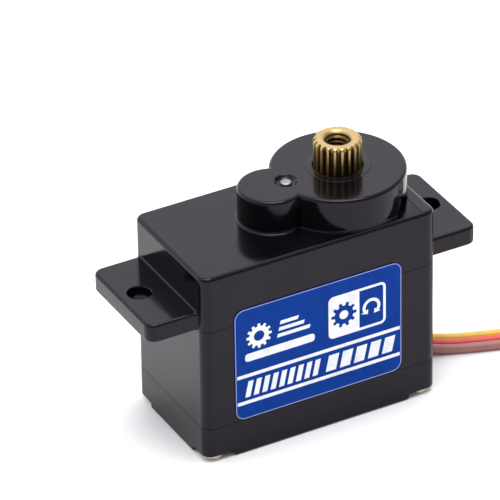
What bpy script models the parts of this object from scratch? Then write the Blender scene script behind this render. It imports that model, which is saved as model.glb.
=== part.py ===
"""Micro hobby servo motor, metal geared, with three-core lead and connector.

Frame: +Z up, origin at the middle of the case's underside, +X along the case
towards the output shaft and the lead, -Y is the labelled face. The drawing
below is in millimetres; MM turns it into metres when a mesh is made.
"""
import math

import bmesh
import bpy
from mathutils import Matrix, Vector

MM = 0.001
TAU = 2 * math.pi

# ---------------------------------------------------------------- dimensions
LENGTH, WIDTH = 22.46, 12.26         # case, X and Y
HL, HW = LENGTH / 2, WIDTH / 2
CORNER_R = 0.90                      # vertical edges of the case
WALL = 0.70
SEAM = 0.04                          # open line between two mouldings
Z_NOTCH = 0.57                       # roof of the corner notches for screw heads
Z_SEAM_1 = 3.36                      # bottom cover / middle case
Z_SEAM_2 = 13.02                     # middle case / upper case
Z_EAR_TOP = 14.74
Z_CASE_TOP = 18.28
Z_DOME_TOP = 21.36
Z_SPLINE_TOP = 24.04
TOP_R = 0.35                         # round along the upper rim
DECK = 0.80                          # plate under the gears
ROOF = 0.78
NOTCH_X, NOTCH_Y = 2.75, 2.40        # corner notches in the underside

EAR_TIP_X = 15.80
EAR_TIP_HW, EAR_ROOT_HW = 5.15, 5.15
EAR_CORNER_R = 0.9
EAR_HOLE_X, EAR_HOLE_R = 13.95, 1.0

AX_OUT = 5.12                        # output axis, potentiometer axis
AX_PIN = 0.12                        # steel pin of the first and third gears
AX_MOT = -4.78                       # motor axis
DOME_R, LOBE_X, LOBE_R = 5.84, -1.30, 2.90
DOME_IN_R, LOBE_IN_R = 5.18, 2.20
POCKET_X, POCKET_DEEP = (7.95, 10.0), 0.36
Z_DOME_IN = 20.50

MODULE = 0.20
T_WHEEL, T_PINION = 38, 12           # centre distance 5.0
T_FIRST, T_MOTOR = 40, 9             # centre distance 4.9
BACKLASH = 0.055
PIN_R, PIN_BORE_R = 0.50, 0.55
POT_SHAFT_R, POT_BORE_R = 0.55, 0.60

SPLINE_TEETH, SPLINE_R, SPLINE_ROOT_R = 20, 2.08, 1.80
JOURNAL_R, BUSH_IN_R, BUSH_R = 2.10, 2.15, 2.75
HORN_HOLE_R, HORN_MOUTH_R = 0.92, 1.27
STOP_ANGLE = math.radians(108)       # ribs that the stop lug meets near 94 deg

SCREW_X, SCREW_Y = 10.01, 4.91
SCREW_R, SCREW_HEAD_R = 0.46, 1.0
POST_X, POST_Y = 8.55, 3.45          # inner corner of the screw posts

LABEL_X = (-8.36, 7.69)
LABEL_Z = (3.50, 14.39)
LABEL_R = 0.9
LABEL_T = 0.08

WIRE_D, WIRE_PITCH = 0.80, 0.86      # three wires side by side
LEAD_Z = 1.34                        # height of the exit
LEAD_EXIT_X = HL + 0.30              # outer face of the grommet
FLOOR_Z = 0.42                       # wire centre when it lies on the surface
HANK_X = (29.0, 44.0)                # the straight runs of the put-away loop
HANK_R = 3.50                        # end loop, middle wire
HANK_Z = 0.84                        # middle of the lowest layer, on the tie
HANK_RISE = 0.88                     # from one turn to the next
HANK_TURNS = 2
CONN_X = (56.0, 70.0)                # connector housing
CONN_Y, CONN_Z = -2.2, 1.32
CONN_HW, CONN_HH = 3.90, 1.28
PIN_PITCH = 2.54


# ---------------------------------------------------------------- scene setup
for old in list(bpy.data.objects):
    bpy.data.objects.remove(old, do_unlink=True)

PARTS = bpy.data.collections.new("hobby_servo")
CUTTERS = bpy.data.collections.new("cutters")
bpy.context.scene.collection.children.link(PARTS)
bpy.context.scene.collection.children.link(CUTTERS)


def material(name, rgb, rough=0.5, metal=0.0):
    mat = bpy.data.materials.new(name)
    mat.use_nodes = True
    bsdf = mat.node_tree.nodes["Principled BSDF"]
    bsdf.inputs["Base Color"].default_value = (*rgb, 1.0)
    bsdf.inputs["Roughness"].default_value = rough
    bsdf.inputs["Metallic"].default_value = metal
    mat.diffuse_color = (*rgb, 1.0)
    return mat


BLACK = (0.022, 0.021, 0.024)
STEEL = (0.62, 0.62, 0.64)
BRASS = (0.70, 0.50, 0.20)
COPPER = (0.72, 0.33, 0.15)


# ---------------------------------------------------------------- shape tools
def mesh_object(name, bm):
    """A mesh object in the cutters' collection; keep() makes it a part."""
    bmesh.ops.recalc_face_normals(bm, faces=bm.faces)
    me = bpy.data.meshes.new(name)
    bm.to_mesh(me)
    bm.free()
    ob = bpy.data.objects.new(name, me)
    ob.hide_render = True
    ob.display_type = "WIRE"
    CUTTERS.objects.link(ob)
    return ob


def cyl(x, y, z0, z1, r, r2=None, seg=32, name="cyl"):
    """Upright cylinder or cone frustum, r at z0 and r2 at z1."""
    bm = bmesh.new()
    bmesh.ops.create_cone(
        bm, cap_ends=True, segments=seg, radius1=r * MM,
        radius2=(r if r2 is None else r2) * MM, depth=(z1 - z0) * MM,
        matrix=Matrix.Translation(Vector((x, y, (z0 + z1) / 2)) * MM))
    return mesh_object(name, bm)


def box(x, y, z, turn=0.0, about=(0.0, 0.0), name="box"):
    """Box from three (low, high) pairs, turned about a vertical line."""
    bm = bmesh.new()
    size = [b - a for a, b in (x, y, z)]
    mid = [(a + b) / 2 for a, b in (x, y, z)]
    bmesh.ops.create_cube(
        bm, size=1.0,
        matrix=Matrix.Translation(Vector(mid) * MM)
        @ Matrix.Diagonal((size[0] * MM, size[1] * MM, size[2] * MM, 1.0)))
    ob = mesh_object(name, bm)
    if turn:
        o = Vector((about[0], about[1], 0)) * MM
        ob.data.transform(Matrix.Translation(o) @ Matrix.Rotation(turn, 4, "Z") @ Matrix.Translation(-o))
    return ob


def from_curve(ob, weld=1e-7):
    """The closed mesh of a curve object, which is then removed."""
    deps = bpy.context.evaluated_depsgraph_get()
    deps.update()
    me = bpy.data.meshes.new_from_object(ob.evaluated_get(deps))
    me.transform(ob.matrix_world)
    name = ob.name
    data = ob.data
    bpy.data.objects.remove(ob)
    bpy.data.curves.remove(data)
    bm = bmesh.new()
    bm.from_mesh(me)
    bpy.data.meshes.remove(me)
    bmesh.ops.remove_doubles(bm, verts=bm.verts, dist=weld)
    return mesh_object(name, bm)


def prism(loops, z0, z1, name="prism", upright=False, y=0.0):
    """A flat outline, with holes, given thickness. loops are lists of (x, y).

    upright puts the outline in the XZ plane, with its thickness z0..z1 along Y.
    """
    cu = bpy.data.curves.new(name, "CURVE")
    cu.dimensions = "2D"
    cu.fill_mode = "BOTH"
    cu.extrude = (z1 - z0) / 2 * MM
    for loop in loops:
        sp = cu.splines.new("POLY")
        sp.points.add(len(loop) - 1)
        for p, (a, b) in zip(sp.points, loop):
            p.co = (a * MM, b * MM, 0.0, 1.0)
        sp.use_cyclic_u = True
    ob = bpy.data.objects.new(name, cu)
    CUTTERS.objects.link(ob)
    if upright:
        ob.matrix_world = Matrix.Translation((0, (z0 + z1) / 2 * MM, 0)) @ Matrix.Rotation(math.pi / 2, 4, "X")
    else:
        ob.matrix_world = Matrix.Translation((0, 0, (z0 + z1) / 2 * MM))
    bpy.context.view_layer.update()
    return from_curve(ob)


def tube(points, d, name="tube"):
    """A round wire through the points, with flat ends."""
    cu = bpy.data.curves.new(name, "CURVE")
    cu.dimensions = "3D"
    cu.bevel_depth = d / 2 * MM
    cu.bevel_resolution = 2
    cu.use_fill_caps = True
    sp = cu.splines.new("POLY")
    sp.points.add(len(points) - 1)
    for p, q in zip(sp.points, points):
        p.co = (q[0] * MM, q[1] * MM, q[2] * MM, 1.0)
    ob = bpy.data.objects.new(name, cu)
    CUTTERS.objects.link(ob)
    bpy.context.view_layer.update()
    return from_curve(ob)


def boolean(ob, how, others):
    """Join, cut or intersect, with the exact solver, and drop the tools."""
    for other in others:
        mod = ob.modifiers.new(how.lower(), "BOOLEAN")
        mod.operation = how
        mod.solver = "EXACT"
        mod.object = other
        deps = bpy.context.evaluated_depsgraph_get()
        deps.update()
        me = bpy.data.meshes.new_from_object(ob.evaluated_get(deps))
        ob.modifiers.clear()
        old, ob.data = ob.data, me
        bpy.data.meshes.remove(old)
        dead = other.data
        bpy.data.objects.remove(other)
        bpy.data.meshes.remove(dead)
    return ob


def join(ob, *others):
    return boolean(ob, "UNION", others)


def cut(ob, *others):
    return boolean(ob, "DIFFERENCE", others)


def clip(ob, other):
    return boolean(ob, "INTERSECT", [other])


def bevel_top(ob, z, width, segments=3):
    """Round the horizontal edges at height z."""
    bm = bmesh.new()
    bm.from_mesh(ob.data)
    edges = [e for e in bm.edges if all(abs(v.co.z - z * MM) < 1e-7 for v in e.verts)
             and e.calc_face_angle(0) > 0.5]
    bmesh.ops.bevel(bm, geom=edges, offset=width * MM, segments=segments, profile=0.5, affect="EDGES",
                    clamp_overlap=True)
    bm.to_mesh(ob.data)
    bm.free()
    return ob


def keep(ob, name, mat, pivot=(0.0, 0.0, 0.0), smooth=30.0):
    """Make a finished solid a part: name, material, origin on its axis."""
    bm = bmesh.new()
    bm.from_mesh(ob.data)
    bmesh.ops.remove_doubles(bm, verts=bm.verts, dist=2e-7)
    bmesh.ops.dissolve_degenerate(bm, edges=bm.edges, dist=2e-7)
    bmesh.ops.dissolve_limit(bm, angle_limit=math.radians(0.2), verts=bm.verts, edges=bm.edges)
    bmesh.ops.triangulate(bm, faces=bm.faces)
    bm.to_mesh(ob.data)
    bm.free()
    ob.name = name
    ob.data.name = name
    p = Vector(pivot) * MM
    ob.data.transform(Matrix.Translation(-p))
    ob.location = p
    ob.data.materials.clear()
    ob.data.materials.append(mat)
    CUTTERS.objects.unlink(ob)
    PARTS.objects.link(ob)
    ob.hide_render = False
    ob.display_type = "TEXTURED"
    ob.data.shade_smooth()
    ob.data.set_sharp_from_angle(angle=math.radians(smooth))
    return ob


# ---------------------------------------------------------------- outlines
def arc(cx, cy, r, a0, a1, n):
    return [(cx + r * math.cos(a0 + (a1 - a0) * i / n), cy + r * math.sin(a0 + (a1 - a0) * i / n)) for i in range(n + 1)]


def rounded(x0, x1, y0, y1, r, n=4):
    out = []
    for cx, cy, a in ((x1 - r, y0 + r, -90), (x1 - r, y1 - r, 0), (x0 + r, y1 - r, 90), (x0 + r, y0 + r, 180)):
        out += arc(cx, cy, r, math.radians(a), math.radians(a + 90), n)
    return out


def circle(cx, cy, r, n=32):
    return [(cx + r * math.cos(TAU * i / n), cy + r * math.sin(TAU * i / n)) for i in range(n)]


def stadium(x0, x1, cy, r, n=12):
    """Outline with two straight sides and round ends about x0 and x1."""
    return arc(x1, cy, r, -math.pi / 2, math.pi / 2, n) + arc(x0, cy, r, math.pi / 2, 3 * math.pi / 2, n)


def involute(base, r):
    """Polar angle of the involute of a base circle at radius r."""
    if r <= base:
        return 0.0
    t = math.sqrt((r / base) ** 2 - 1)
    return t - math.atan(t)


def gear_outline(cx, cy, teeth, tooth_at, addendum=0.8, dedendum=1.15, module=MODULE, thin=BACKLASH):
    """Spur gear outline with 20 degree involute flanks and stub teeth.

    One tooth points along the angle tooth_at. thin is taken off each tooth's
    width at the pitch circle, for backlash.
    """
    rp = module * teeth / 2
    rb = rp * math.cos(math.radians(20))
    ra = rp + addendum * module
    rf = rp - dedendum * module
    half = (math.pi * module / 2 - thin) / 2 / rp + involute(rb, rp)
    radii = [max(rb, rf) if rb > rf else rf, (max(rb, rf) + ra) / 2 + 0.02 * module, ra]
    out = []
    for k in range(teeth):
        a = tooth_at + TAU * k / teeth
        left = []
        if rb > rf + 0.02:
            left.append((rf, half * 0.90))
        for r in radii:
            left.append((r, half - involute(rb, r)))
        for r, h in left:
            out.append((cx + r * math.cos(a - h), cy + r * math.sin(a - h)))
        for r, h in reversed(left):
            out.append((cx + r * math.cos(a + h), cy + r * math.sin(a + h)))
    return out


def spline_outline(cx, cy, teeth, tip, root):
    out = []
    for k in range(teeth):
        for share, r in ((-0.31, root), (-0.14, tip), (0.14, tip), (0.31, root)):
            a = TAU * (k + share) / teeth
            out.append((cx + r * math.cos(a), cy + r * math.sin(a)))
    return out


# ---------------------------------------------------------------- materials
M_BLACK = material("case_plastic", BLACK, 0.38)
M_LABEL = material("label_film", (0.012, 0.055, 0.33), 0.35)
M_BRASS = material("gear_brass", BRASS, 0.30, 1.0)
M_STEEL = material("steel", STEEL, 0.28, 1.0)
M_SCREW = material("screw_steel", (0.50, 0.46, 0.38), 0.35, 1.0)
M_BRONZE = material("bush_bronze", (0.30, 0.20, 0.10), 0.45, 1.0)
M_DARK = material("dark_polymer", (0.03, 0.03, 0.032), 0.5)
M_BUSH = material("bush_polymer", (0.012, 0.012, 0.013), 0.3)
M_WHITE = material("white_nylon", (0.75, 0.74, 0.70), 0.5)
M_MAGNET = material("ferrite", (0.08, 0.08, 0.085), 0.6)
M_COPPER = material("copper_wire", COPPER, 0.35, 1.0)
M_CARBON = material("brush_carbon", (0.05, 0.05, 0.05), 0.7)
M_BOARD = material("board_laminate", (0.01, 0.10, 0.045), 0.45)
M_CHIP = material("chip_epoxy", (0.02, 0.02, 0.02), 0.55)
M_CERAMIC = material("ceramic", (0.45, 0.33, 0.20), 0.5)
M_TIN = material("tinned_metal", (0.70, 0.70, 0.68), 0.3, 1.0)
M_RUBBER = material("grommet_rubber", (0.02, 0.02, 0.02), 0.7)
M_YELLOW = material("wire_yellow", (0.65, 0.40, 0.035), 0.5)
M_RED = material("wire_red", (0.60, 0.05, 0.04), 0.5)
M_BROWN = material("wire_brown", (0.20, 0.075, 0.045), 0.5)


# ================================================================ case
body_outline = rounded(-HL, HL, -HW, HW, CORNER_R)


def chamber(z0, z1):
    """The room inside the walls, with a post left in each corner."""
    return join(box((-HL + WALL, HL - WALL), (-POST_Y, POST_Y), (z0, z1)),
                box((-POST_X, POST_X), (-HW + WALL, HW - WALL), (z0, z1)))


def screw_holes(z0, z1, r):
    return [cyl(sx * SCREW_X, sy * SCREW_Y, z0, z1, r, seg=16) for sx in (-1, 1) for sy in (-1, 1)]


# upper case: walls, ears and figure-eight dome in one moulding
upper = bevel_top(prism([body_outline], Z_SEAM_2 + SEAM / 2, Z_CASE_TOP), Z_CASE_TOP, TOP_R)
# one plate runs through the case: each half goes from root to tip to root
e = EAR_CORNER_R
right = [(HL, -EAR_ROOT_HW - 0.10), (HL + 0.35, -EAR_ROOT_HW + 0.05)]
right += arc(EAR_TIP_X - e, -EAR_TIP_HW + e, e, -math.pi / 2, 0, 5)
right += arc(EAR_TIP_X - e, EAR_TIP_HW - e, e, 0, math.pi / 2, 5)
right += [(HL + 0.35, EAR_ROOT_HW - 0.05), (HL, EAR_ROOT_HW + 0.10)]
ears = prism([right + [(-x, -y) for x, y in right]], Z_SEAM_2 + SEAM / 2 + 0.02, Z_EAR_TOP)
upper = join(upper, ears)
dome = cyl(AX_OUT, 0, Z_CASE_TOP - 0.8, Z_DOME_TOP, DOME_R - 0.002, seg=64)
lobe = cyl(LOBE_X, 0, Z_CASE_TOP - 0.8, Z_DOME_TOP, LOBE_R, seg=40)
dome = bevel_top(join(dome, lobe), Z_DOME_TOP, 0.25, 2)
upper = join(upper, dome)
room = join(box((-HL + WALL, AX_OUT), (-POST_Y, POST_Y), (Z_SEAM_2 - 1, Z_CASE_TOP - ROOF)),
            box((-POST_X, AX_OUT), (-HW + WALL, HW - WALL), (Z_SEAM_2 - 1, Z_CASE_TOP - ROOF)),
            cyl(AX_OUT, 0, Z_SEAM_2 - 1.1, Z_DOME_IN, DOME_IN_R, seg=48),
            cyl(LOBE_X, 0, Z_SEAM_2 - 1.2, Z_DOME_IN, LOBE_IN_R, seg=32))
upper = cut(upper, room)
for s in (1, -1):
    upper = join(upper, box((AX_OUT + BUSH_R + 0.20, AX_OUT + DOME_IN_R + 0.25), (-0.35, 0.35),
                            (Z_DOME_IN - 2.1, Z_DOME_IN + 0.3), s * STOP_ANGLE, (AX_OUT, 0)))
upper = cut(upper,
            cyl(AX_OUT, 0, Z_DOME_IN - 0.5, Z_DOME_TOP + 1, BUSH_R + 0.03, seg=40),
            cyl(AX_PIN, 0, Z_DOME_IN - 0.5, Z_DOME_TOP + 1, PIN_R + 0.04, seg=24),
            cyl(AX_PIN, 0, Z_DOME_TOP - 0.28, Z_DOME_TOP + 0.02, 0.66, 1.0, seg=24),
            *[cyl(s * EAR_HOLE_X, 0, Z_SEAM_2 - 1, Z_EAR_TOP + 1, EAR_HOLE_R, seg=28) for s in (1, -1)],
            *screw_holes(Z_SEAM_2 - 1, 16.2, SCREW_R + 0.04))
# shallow latch pockets at the foot of the dome, near the output end
for s in (1, -1):
    y0, y1 = sorted((s * 0.5, s * (HW + 0.6)))
    pocket = prism([[(POCKET_X[0], Z_CASE_TOP - 0.03), (POCKET_X[1], Z_CASE_TOP - 0.03), (POCKET_X[1], 18.65),
                     (9.30, 19.10), (8.10, 19.96), (POCKET_X[0], 19.90)]], y0, y1, upright=True)
    upper = cut(upper, cut(pocket, cyl(AX_OUT, 0, 17, 21, DOME_R - POCKET_DEEP, seg=64)))
keep(upper, "upper_case", M_BLACK)

# middle case: open below, with the gear deck on top
middle = prism([body_outline], Z_SEAM_1 + SEAM / 2, Z_SEAM_2 - SEAM / 2)
middle = cut(middle, chamber(Z_SEAM_1 - 1, Z_SEAM_2 - DECK),
             cyl(AX_MOT, 0, Z_SEAM_2 - 2, Z_SEAM_2 + 1, 1.40, seg=28),
             cyl(AX_OUT, 0, Z_SEAM_2 - 2, Z_SEAM_2 + 1, 0.95, seg=24),
             cyl(AX_PIN, 0, Z_SEAM_2 - 0.65, Z_SEAM_2 + 1, PIN_R + 0.03, seg=24),
             *screw_holes(Z_SEAM_1 - 1, Z_SEAM_2 + 1, SCREW_R + 0.07))
keep(middle, "middle_case", M_BLACK)

# bottom cover: plateau, corner notches and the lead's exit
bottom = prism([body_outline], 0.0, Z_SEAM_1 - SEAM / 2)
bottom = cut(bottom, chamber(0.80, Z_SEAM_1 + 1))
for sx in (1, -1):
    for sy in (1, -1):
        x0, x1 = sorted((sx * (HL - NOTCH_X), sx * (HL + 2)))
        y0, y1 = sorted((sy * (HW - NOTCH_Y), sy * (HW + 2)))
        bottom = cut(bottom, prism([rounded(x0, x1, y0, y1, 0.8)], -1.0, Z_NOTCH))
bottom = cut(bottom, box((HL - WALL - 0.5, HL + 1), (-1.62, 1.62), (LEAD_Z - 0.60, LEAD_Z + 0.60)),
             *screw_holes(-1, Z_SEAM_1 + 1, SCREW_R + 0.07))
keep(bottom, "bottom_cover", M_BLACK)

# four long case screws
for i, (sx, sy) in enumerate(((-1, -1), (1, -1), (1, 1), (-1, 1)), 1):
    x, y = sx * SCREW_X, sy * SCREW_Y
    head = cyl(x, y, 0.03, Z_NOTCH - 0.04, SCREW_HEAD_R * 0.86, SCREW_HEAD_R, seg=24)
    s = join(head, cyl(x, y, 0.30, 15.9, SCREW_R, seg=14), cyl(x, y, 15.88, 16.1, SCREW_R - 0.001, 0.16, seg=14))
    s = cut(s, box((x - 0.55, x + 0.55), (y - 0.11, y + 0.11), (-0.5, 0.26)),
            box((x - 0.11, x + 0.11), (y - 0.55, y + 0.55), (-0.5, 0.26)))
    keep(s, f"case_screw_{i}", M_SCREW)

label = prism([rounded(LABEL_X[0], LABEL_X[1], LABEL_Z[0], LABEL_Z[1], LABEL_R, 6)],
              -HW - 0.02 - LABEL_T, -HW - 0.02, upright=True)
keep(label, "label", M_LABEL)


# ================================================================ gear train
def gap_towards(teeth, angle):
    """Angle for tooth_at that puts a gap at the given angle."""
    return angle - math.pi / teeth


def compound(name, axis, wheel_teeth, wheel_gap, zw, pinion_tooth, zp, bore, mat):
    wheel = prism([gear_outline(axis, 0, wheel_teeth, gap_towards(wheel_teeth, wheel_gap))], *zw)
    pinion = prism([gear_outline(axis, 0, T_PINION, pinion_tooth)], zw[0] + 0.2, zp)
    g = cut(join(wheel, pinion), cyl(axis, 0, zw[0] - 1, zp + 1, bore, seg=20))
    return keep(g, name, mat, (axis, 0, (zw[0] + zw[1]) / 2))


Z_W1, Z_P1 = (13.32, 13.95), 15.10
Z_W2, Z_P2 = (14.30, 14.93), 16.12
Z_W3, Z_P3 = (15.32, 15.95), 18.10
Z_WO = (16.42, 17.90)

compound("first_gear", AX_PIN, T_FIRST, math.pi, Z_W1, 0.0, Z_P1, PIN_BORE_R, M_BRASS)
compound("second_gear", AX_OUT, T_WHEEL, math.pi, Z_W2, math.pi, Z_P2, POT_BORE_R, M_BRASS)
compound("third_gear", AX_PIN, T_WHEEL, 0.0, Z_W3, 0.0, Z_P3, PIN_BORE_R, M_BRASS)

out = prism([gear_outline(AX_OUT, 0, T_WHEEL, gap_towards(T_WHEEL, math.pi))], *Z_WO)
out = join(out, cyl(AX_OUT, 0, Z_WO[0] + 0.4, Z_DOME_IN - 0.22, 2.60, seg=40),
           box((AX_OUT + 2.2, AX_OUT + 4.25), (-0.5, 0.5), (Z_WO[1] - 0.3, Z_WO[1] + 1.05)),
           cyl(AX_OUT, 0, 19.8, Z_DOME_TOP - 0.06, JOURNAL_R, seg=40))
spline = prism([spline_outline(AX_OUT, 0, SPLINE_TEETH, SPLINE_R, SPLINE_ROOT_R)], Z_DOME_TOP - 0.4, Z_SPLINE_TOP)
spline = clip(spline, join(cyl(AX_OUT, 0, Z_DOME_TOP - 1, Z_SPLINE_TOP - 0.38, 2.14, seg=40),
                           cyl(AX_OUT, 0, Z_SPLINE_TOP - 0.40, Z_SPLINE_TOP + 0.002, 2.139, 1.76, seg=40)))
out = join(out, spline)
# flatted hole for the potentiometer shaft, tapped hole for the horn screw
flat = [(max(x, AX_OUT - 0.34), y) for x, y in circle(AX_OUT, 0, POT_SHAFT_R + 0.03, 28)]
out = cut(out, prism([flat], Z_WO[0] - 1, Z_WO[1] - 0.15),
          cyl(AX_OUT, 0, 19.0, Z_SPLINE_TOP + 1, HORN_HOLE_R, seg=28),
          cyl(AX_OUT, 0, Z_SPLINE_TOP - 0.30, Z_SPLINE_TOP + 0.02, HORN_HOLE_R + 0.10, HORN_MOUTH_R, seg=28))
keep(out, "output_gear", M_BRASS, (AX_OUT, 0, (Z_WO[0] + Z_WO[1]) / 2))

pin = join(cyl(AX_PIN, 0, Z_SEAM_2 - 0.60, Z_DOME_TOP - 0.18, PIN_R, seg=20),
           cyl(AX_PIN, 0, Z_DOME_TOP - 0.19, Z_DOME_TOP - 0.06, PIN_R - 0.001, PIN_R - 0.14, seg=20))
keep(pin, "gear_pin", M_STEEL)
bush = prism([circle(AX_OUT, 0, BUSH_R, 40), circle(AX_OUT, 0, BUSH_IN_R, 40)], Z_DOME_IN, Z_DOME_TOP + 0.06)
keep(bush, "output_bush", M_BUSH)

# ================================================================ motor
mp = cut(prism([gear_outline(AX_MOT, 0, T_MOTOR, 0.0, 0.75)], 13.22, 14.02),
         cyl(AX_MOT, 0, 13, 15, 0.42, seg=16))
keep(mp, "motor_pinion", M_BRASS, (AX_MOT, 0, 13.6))
keep(cyl(AX_MOT, 0, 4.35, 14.0, 0.40, seg=16), "motor_shaft", M_STEEL, (AX_MOT, 0, 9.0))

CAN_R, CAN_IN = 3.50, 3.20
can = cut(cyl(AX_MOT, 0, 4.72, 12.12, CAN_R, seg=40), cyl(AX_MOT, 0, 4, 11.72, CAN_IN, seg=40),
          cyl(AX_MOT, 0, 11, 13, 0.86, seg=24))
keep(can, "motor_can", M_STEEL)
cap = join(cyl(AX_MOT, 0, 4.20, 4.68, CAN_R, seg=40), cyl(AX_MOT, 0, 4.6, 5.15, CAN_IN - 0.05, seg=40))
cap = cut(cap, cyl(AX_MOT, 0, 4, 6, 0.46, seg=20))
keep(cap, "motor_end_cap", M_WHITE)
keep(prism([circle(AX_MOT, 0, 0.83, 20), circle(AX_MOT, 0, 0.44, 20)], 11.30, 12.16), "motor_bush", M_BRONZE)
for i, a in enumerate((0.0, math.pi), 1):
    span = math.radians(58)
    ring = arc(AX_MOT, 0, 3.15, a - span, a + span, 12) + arc(AX_MOT, 0, 2.60, a + span, a - span, 12)
    keep(prism([ring], 6.70, 11.40), f"motor_magnet_{i}", M_MAGNET)

# three-pole armature: hub, necks and pole shoes
core_pts = []
for k in range(3):
    a = TAU * k / 3
    core_pts += [(AX_MOT + r * math.cos(a + t), r * math.sin(a + t)) for r, t in
                 ((0.92, -0.95), (0.80, -0.62), (1.60, -0.30), (2.00, -0.80))]
    core_pts += arc(AX_MOT, 0, 2.42, a - 0.82, a + 0.82, 6)
    core_pts += [(AX_MOT + r * math.cos(a + t), r * math.sin(a + t)) for r, t in
                 ((2.00, 0.80), (1.60, 0.30), (0.80, 0.62))]
core = prism([core_pts, circle(AX_MOT, 0, 0.42, 16)], 7.40, 10.60)
keep(core, "armature_core", M_STEEL, (AX_MOT, 0, 9.0))
for k in range(3):
    a = TAU * k / 3
    coil = box((AX_MOT + 0.96, AX_MOT + 1.34), (-0.98, 0.98), (7.00, 11.00), a, (AX_MOT, 0))
    coil = cut(coil, box((AX_MOT + 0.5, AX_MOT + 2.5), (-0.58, 0.58), (7.36, 10.64), a, (AX_MOT, 0)))
    keep(coil, f"armature_winding_{k + 1}", M_COPPER, (AX_MOT, 0, 9.0))
keep(prism([circle(AX_MOT, 0, 0.80, 24), circle(AX_MOT, 0, 0.42, 16)], 5.40, 6.70), "commutator", M_COPPER,
     (AX_MOT, 0, 6.0))
for i, s in enumerate((1, -1), 1):
    x0, x1 = sorted((AX_MOT + s * 0.85, AX_MOT + s * 1.25))
    brush = join(box((x0, x1), (-0.28, 0.28), (5.60, 6.35)),
                 box(tuple(sorted((AX_MOT + s * 1.20, AX_MOT + s * 1.34))), (-0.22, 2.30), (5.70, 6.25)))
    keep(brush, f"motor_brush_{i}", M_CARBON)
    x0, x1 = AX_MOT + s * 1.9 - 0.45, AX_MOT + s * 1.9 + 0.45
    keep(box((x0, x1), (-0.15, 0.15), (2.66, 4.16)), f"motor_terminal_{i}", M_TIN)

# ================================================================ potentiometer
POT_R = 3.30
pot = cut(cyl(AX_OUT, 0, 8.00, 11.52, POT_R, seg=36), cyl(AX_OUT, 0, 8.50, 12, POT_R - 0.40, seg=36),
          cyl(AX_OUT, 0, 7, 9, POT_BORE_R, seg=20))
keep(pot, "pot_housing", M_DARK)
keep(prism([circle(AX_OUT, 0, POT_R, 36), circle(AX_OUT, 0, 0.72, 20)], 11.56, 11.98), "pot_cover", M_STEEL)
track = arc(AX_OUT, 0, 2.60, math.radians(-140), math.radians(140), 24) + \
    arc(AX_OUT, 0, 1.50, math.radians(140), math.radians(-140), 24)
keep(prism([track], 8.54, 8.84), "pot_track", M_CARBON)
shaft = join(cyl(AX_OUT, 0, 8.20, Z_WO[0] - 0.06, POT_SHAFT_R, seg=24), cyl(AX_OUT, 0, 10.20, 10.85, 2.60, seg=32))
flat = [(max(x, AX_OUT - 0.31), y) for x, y in circle(AX_OUT, 0, POT_SHAFT_R - 0.001, 28)]
shaft = join(shaft, prism([flat], Z_WO[0] - 0.5, Z_WO[1] - 0.20))
keep(shaft, "pot_shaft", M_WHITE, (AX_OUT, 0, 10.5))
wiper = join(box((AX_OUT + 1.20, AX_OUT + 2.35), (-0.35, 0.35), (9.98, 10.16)),
             box((AX_OUT + 1.75, AX_OUT + 2.25), (-0.30, 0.30), (8.90, 10.05)))
keep(wiper, "pot_wiper", M_TIN, (AX_OUT, 0, 10.0))
for i, y in enumerate((-1.3, 0.0, 1.3), 1):
    keep(box((AX_OUT + 1.55, AX_OUT + 1.80), (y - 0.28, y + 0.28), (2.66, 7.96)), f"pot_terminal_{i}", M_TIN)

# ================================================================ electronics
board_pts = [(-8.4, -4.9), (8.4, -4.9), (8.4, -3.2), (9.3, -3.2), (9.3, 3.2), (8.4, 3.2),
             (8.4, 4.9), (-8.4, 4.9), (-8.4, 3.2), (-10.1, 3.2), (-10.1, -3.2), (-8.4, -3.2)]
keep(prism([board_pts], 2.02, 2.62), "circuit_board", M_BOARD)
keep(box((-4.0, 0.0), (-2.0, 2.0), (1.12, 1.98)), "microcontroller", M_CHIP)
keep(box((2.2, 5.2), (-1.5, 1.5), (1.12, 1.98)), "motor_driver", M_CHIP)
keep(box((-8.2, -6.2), (-1.3, 1.3), (1.12, 1.98)), "voltage_regulator", M_CHIP)
keep(box((-0.9, 1.1), (2.6, 3.9), (2.66, 3.60)), "supply_capacitor", M_CERAMIC)

# ================================================================ lead
gro = join(box((HL - WALL - 0.02 - 0.50, LEAD_EXIT_X), (-1.58, 1.58), (LEAD_Z - 0.56, LEAD_Z + 0.56)),
           box((HL - WALL - 0.02 - 0.50, HL - WALL - 0.04), (-2.3, 2.3), (0.84, LEAD_Z + 0.72)))
keep(gro, "lead_grommet", M_RUBBER)


def smooth_path(points, step):
    """Points step apart along a Catmull-Rom curve through the given points."""
    pts = [Vector(p) for p in points]
    pts = [pts[0] * 2 - pts[1]] + pts + [pts[-1] * 2 - pts[-2]]
    fine = []
    for i in range(1, len(pts) - 2):
        a, b, c, d = pts[i - 1:i + 3]
        for k in range(24):
            t = k / 24
            fine.append(0.5 * ((2 * b) + (c - a) * t + (2 * a - 5 * b + 4 * c - d) * t * t
                               + (3 * b - a - 3 * c + d) * t ** 3))
    fine.append(pts[-2])
    out_pts, run = [fine[0]], 0.0
    total = sum((q - p).length for p, q in zip(fine, fine[1:]))
    n = max(2, round(total / step))
    want = total / n
    for p, q in zip(fine, fine[1:]):
        seg = (q - p).length
        while run + seg >= want - 1e-9 and seg > 0:
            t = (want - run) / seg
            p = p.lerp(q, t)
            out_pts.append(p.copy())
            seg = (q - p).length
            run = 0.0
        run += seg
    if (out_pts[-1] - fine[-1]).length > want * 0.4:
        out_pts.append(fine[-1])
    else:
        out_pts[-1] = fine[-1]
    return out_pts


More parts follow.
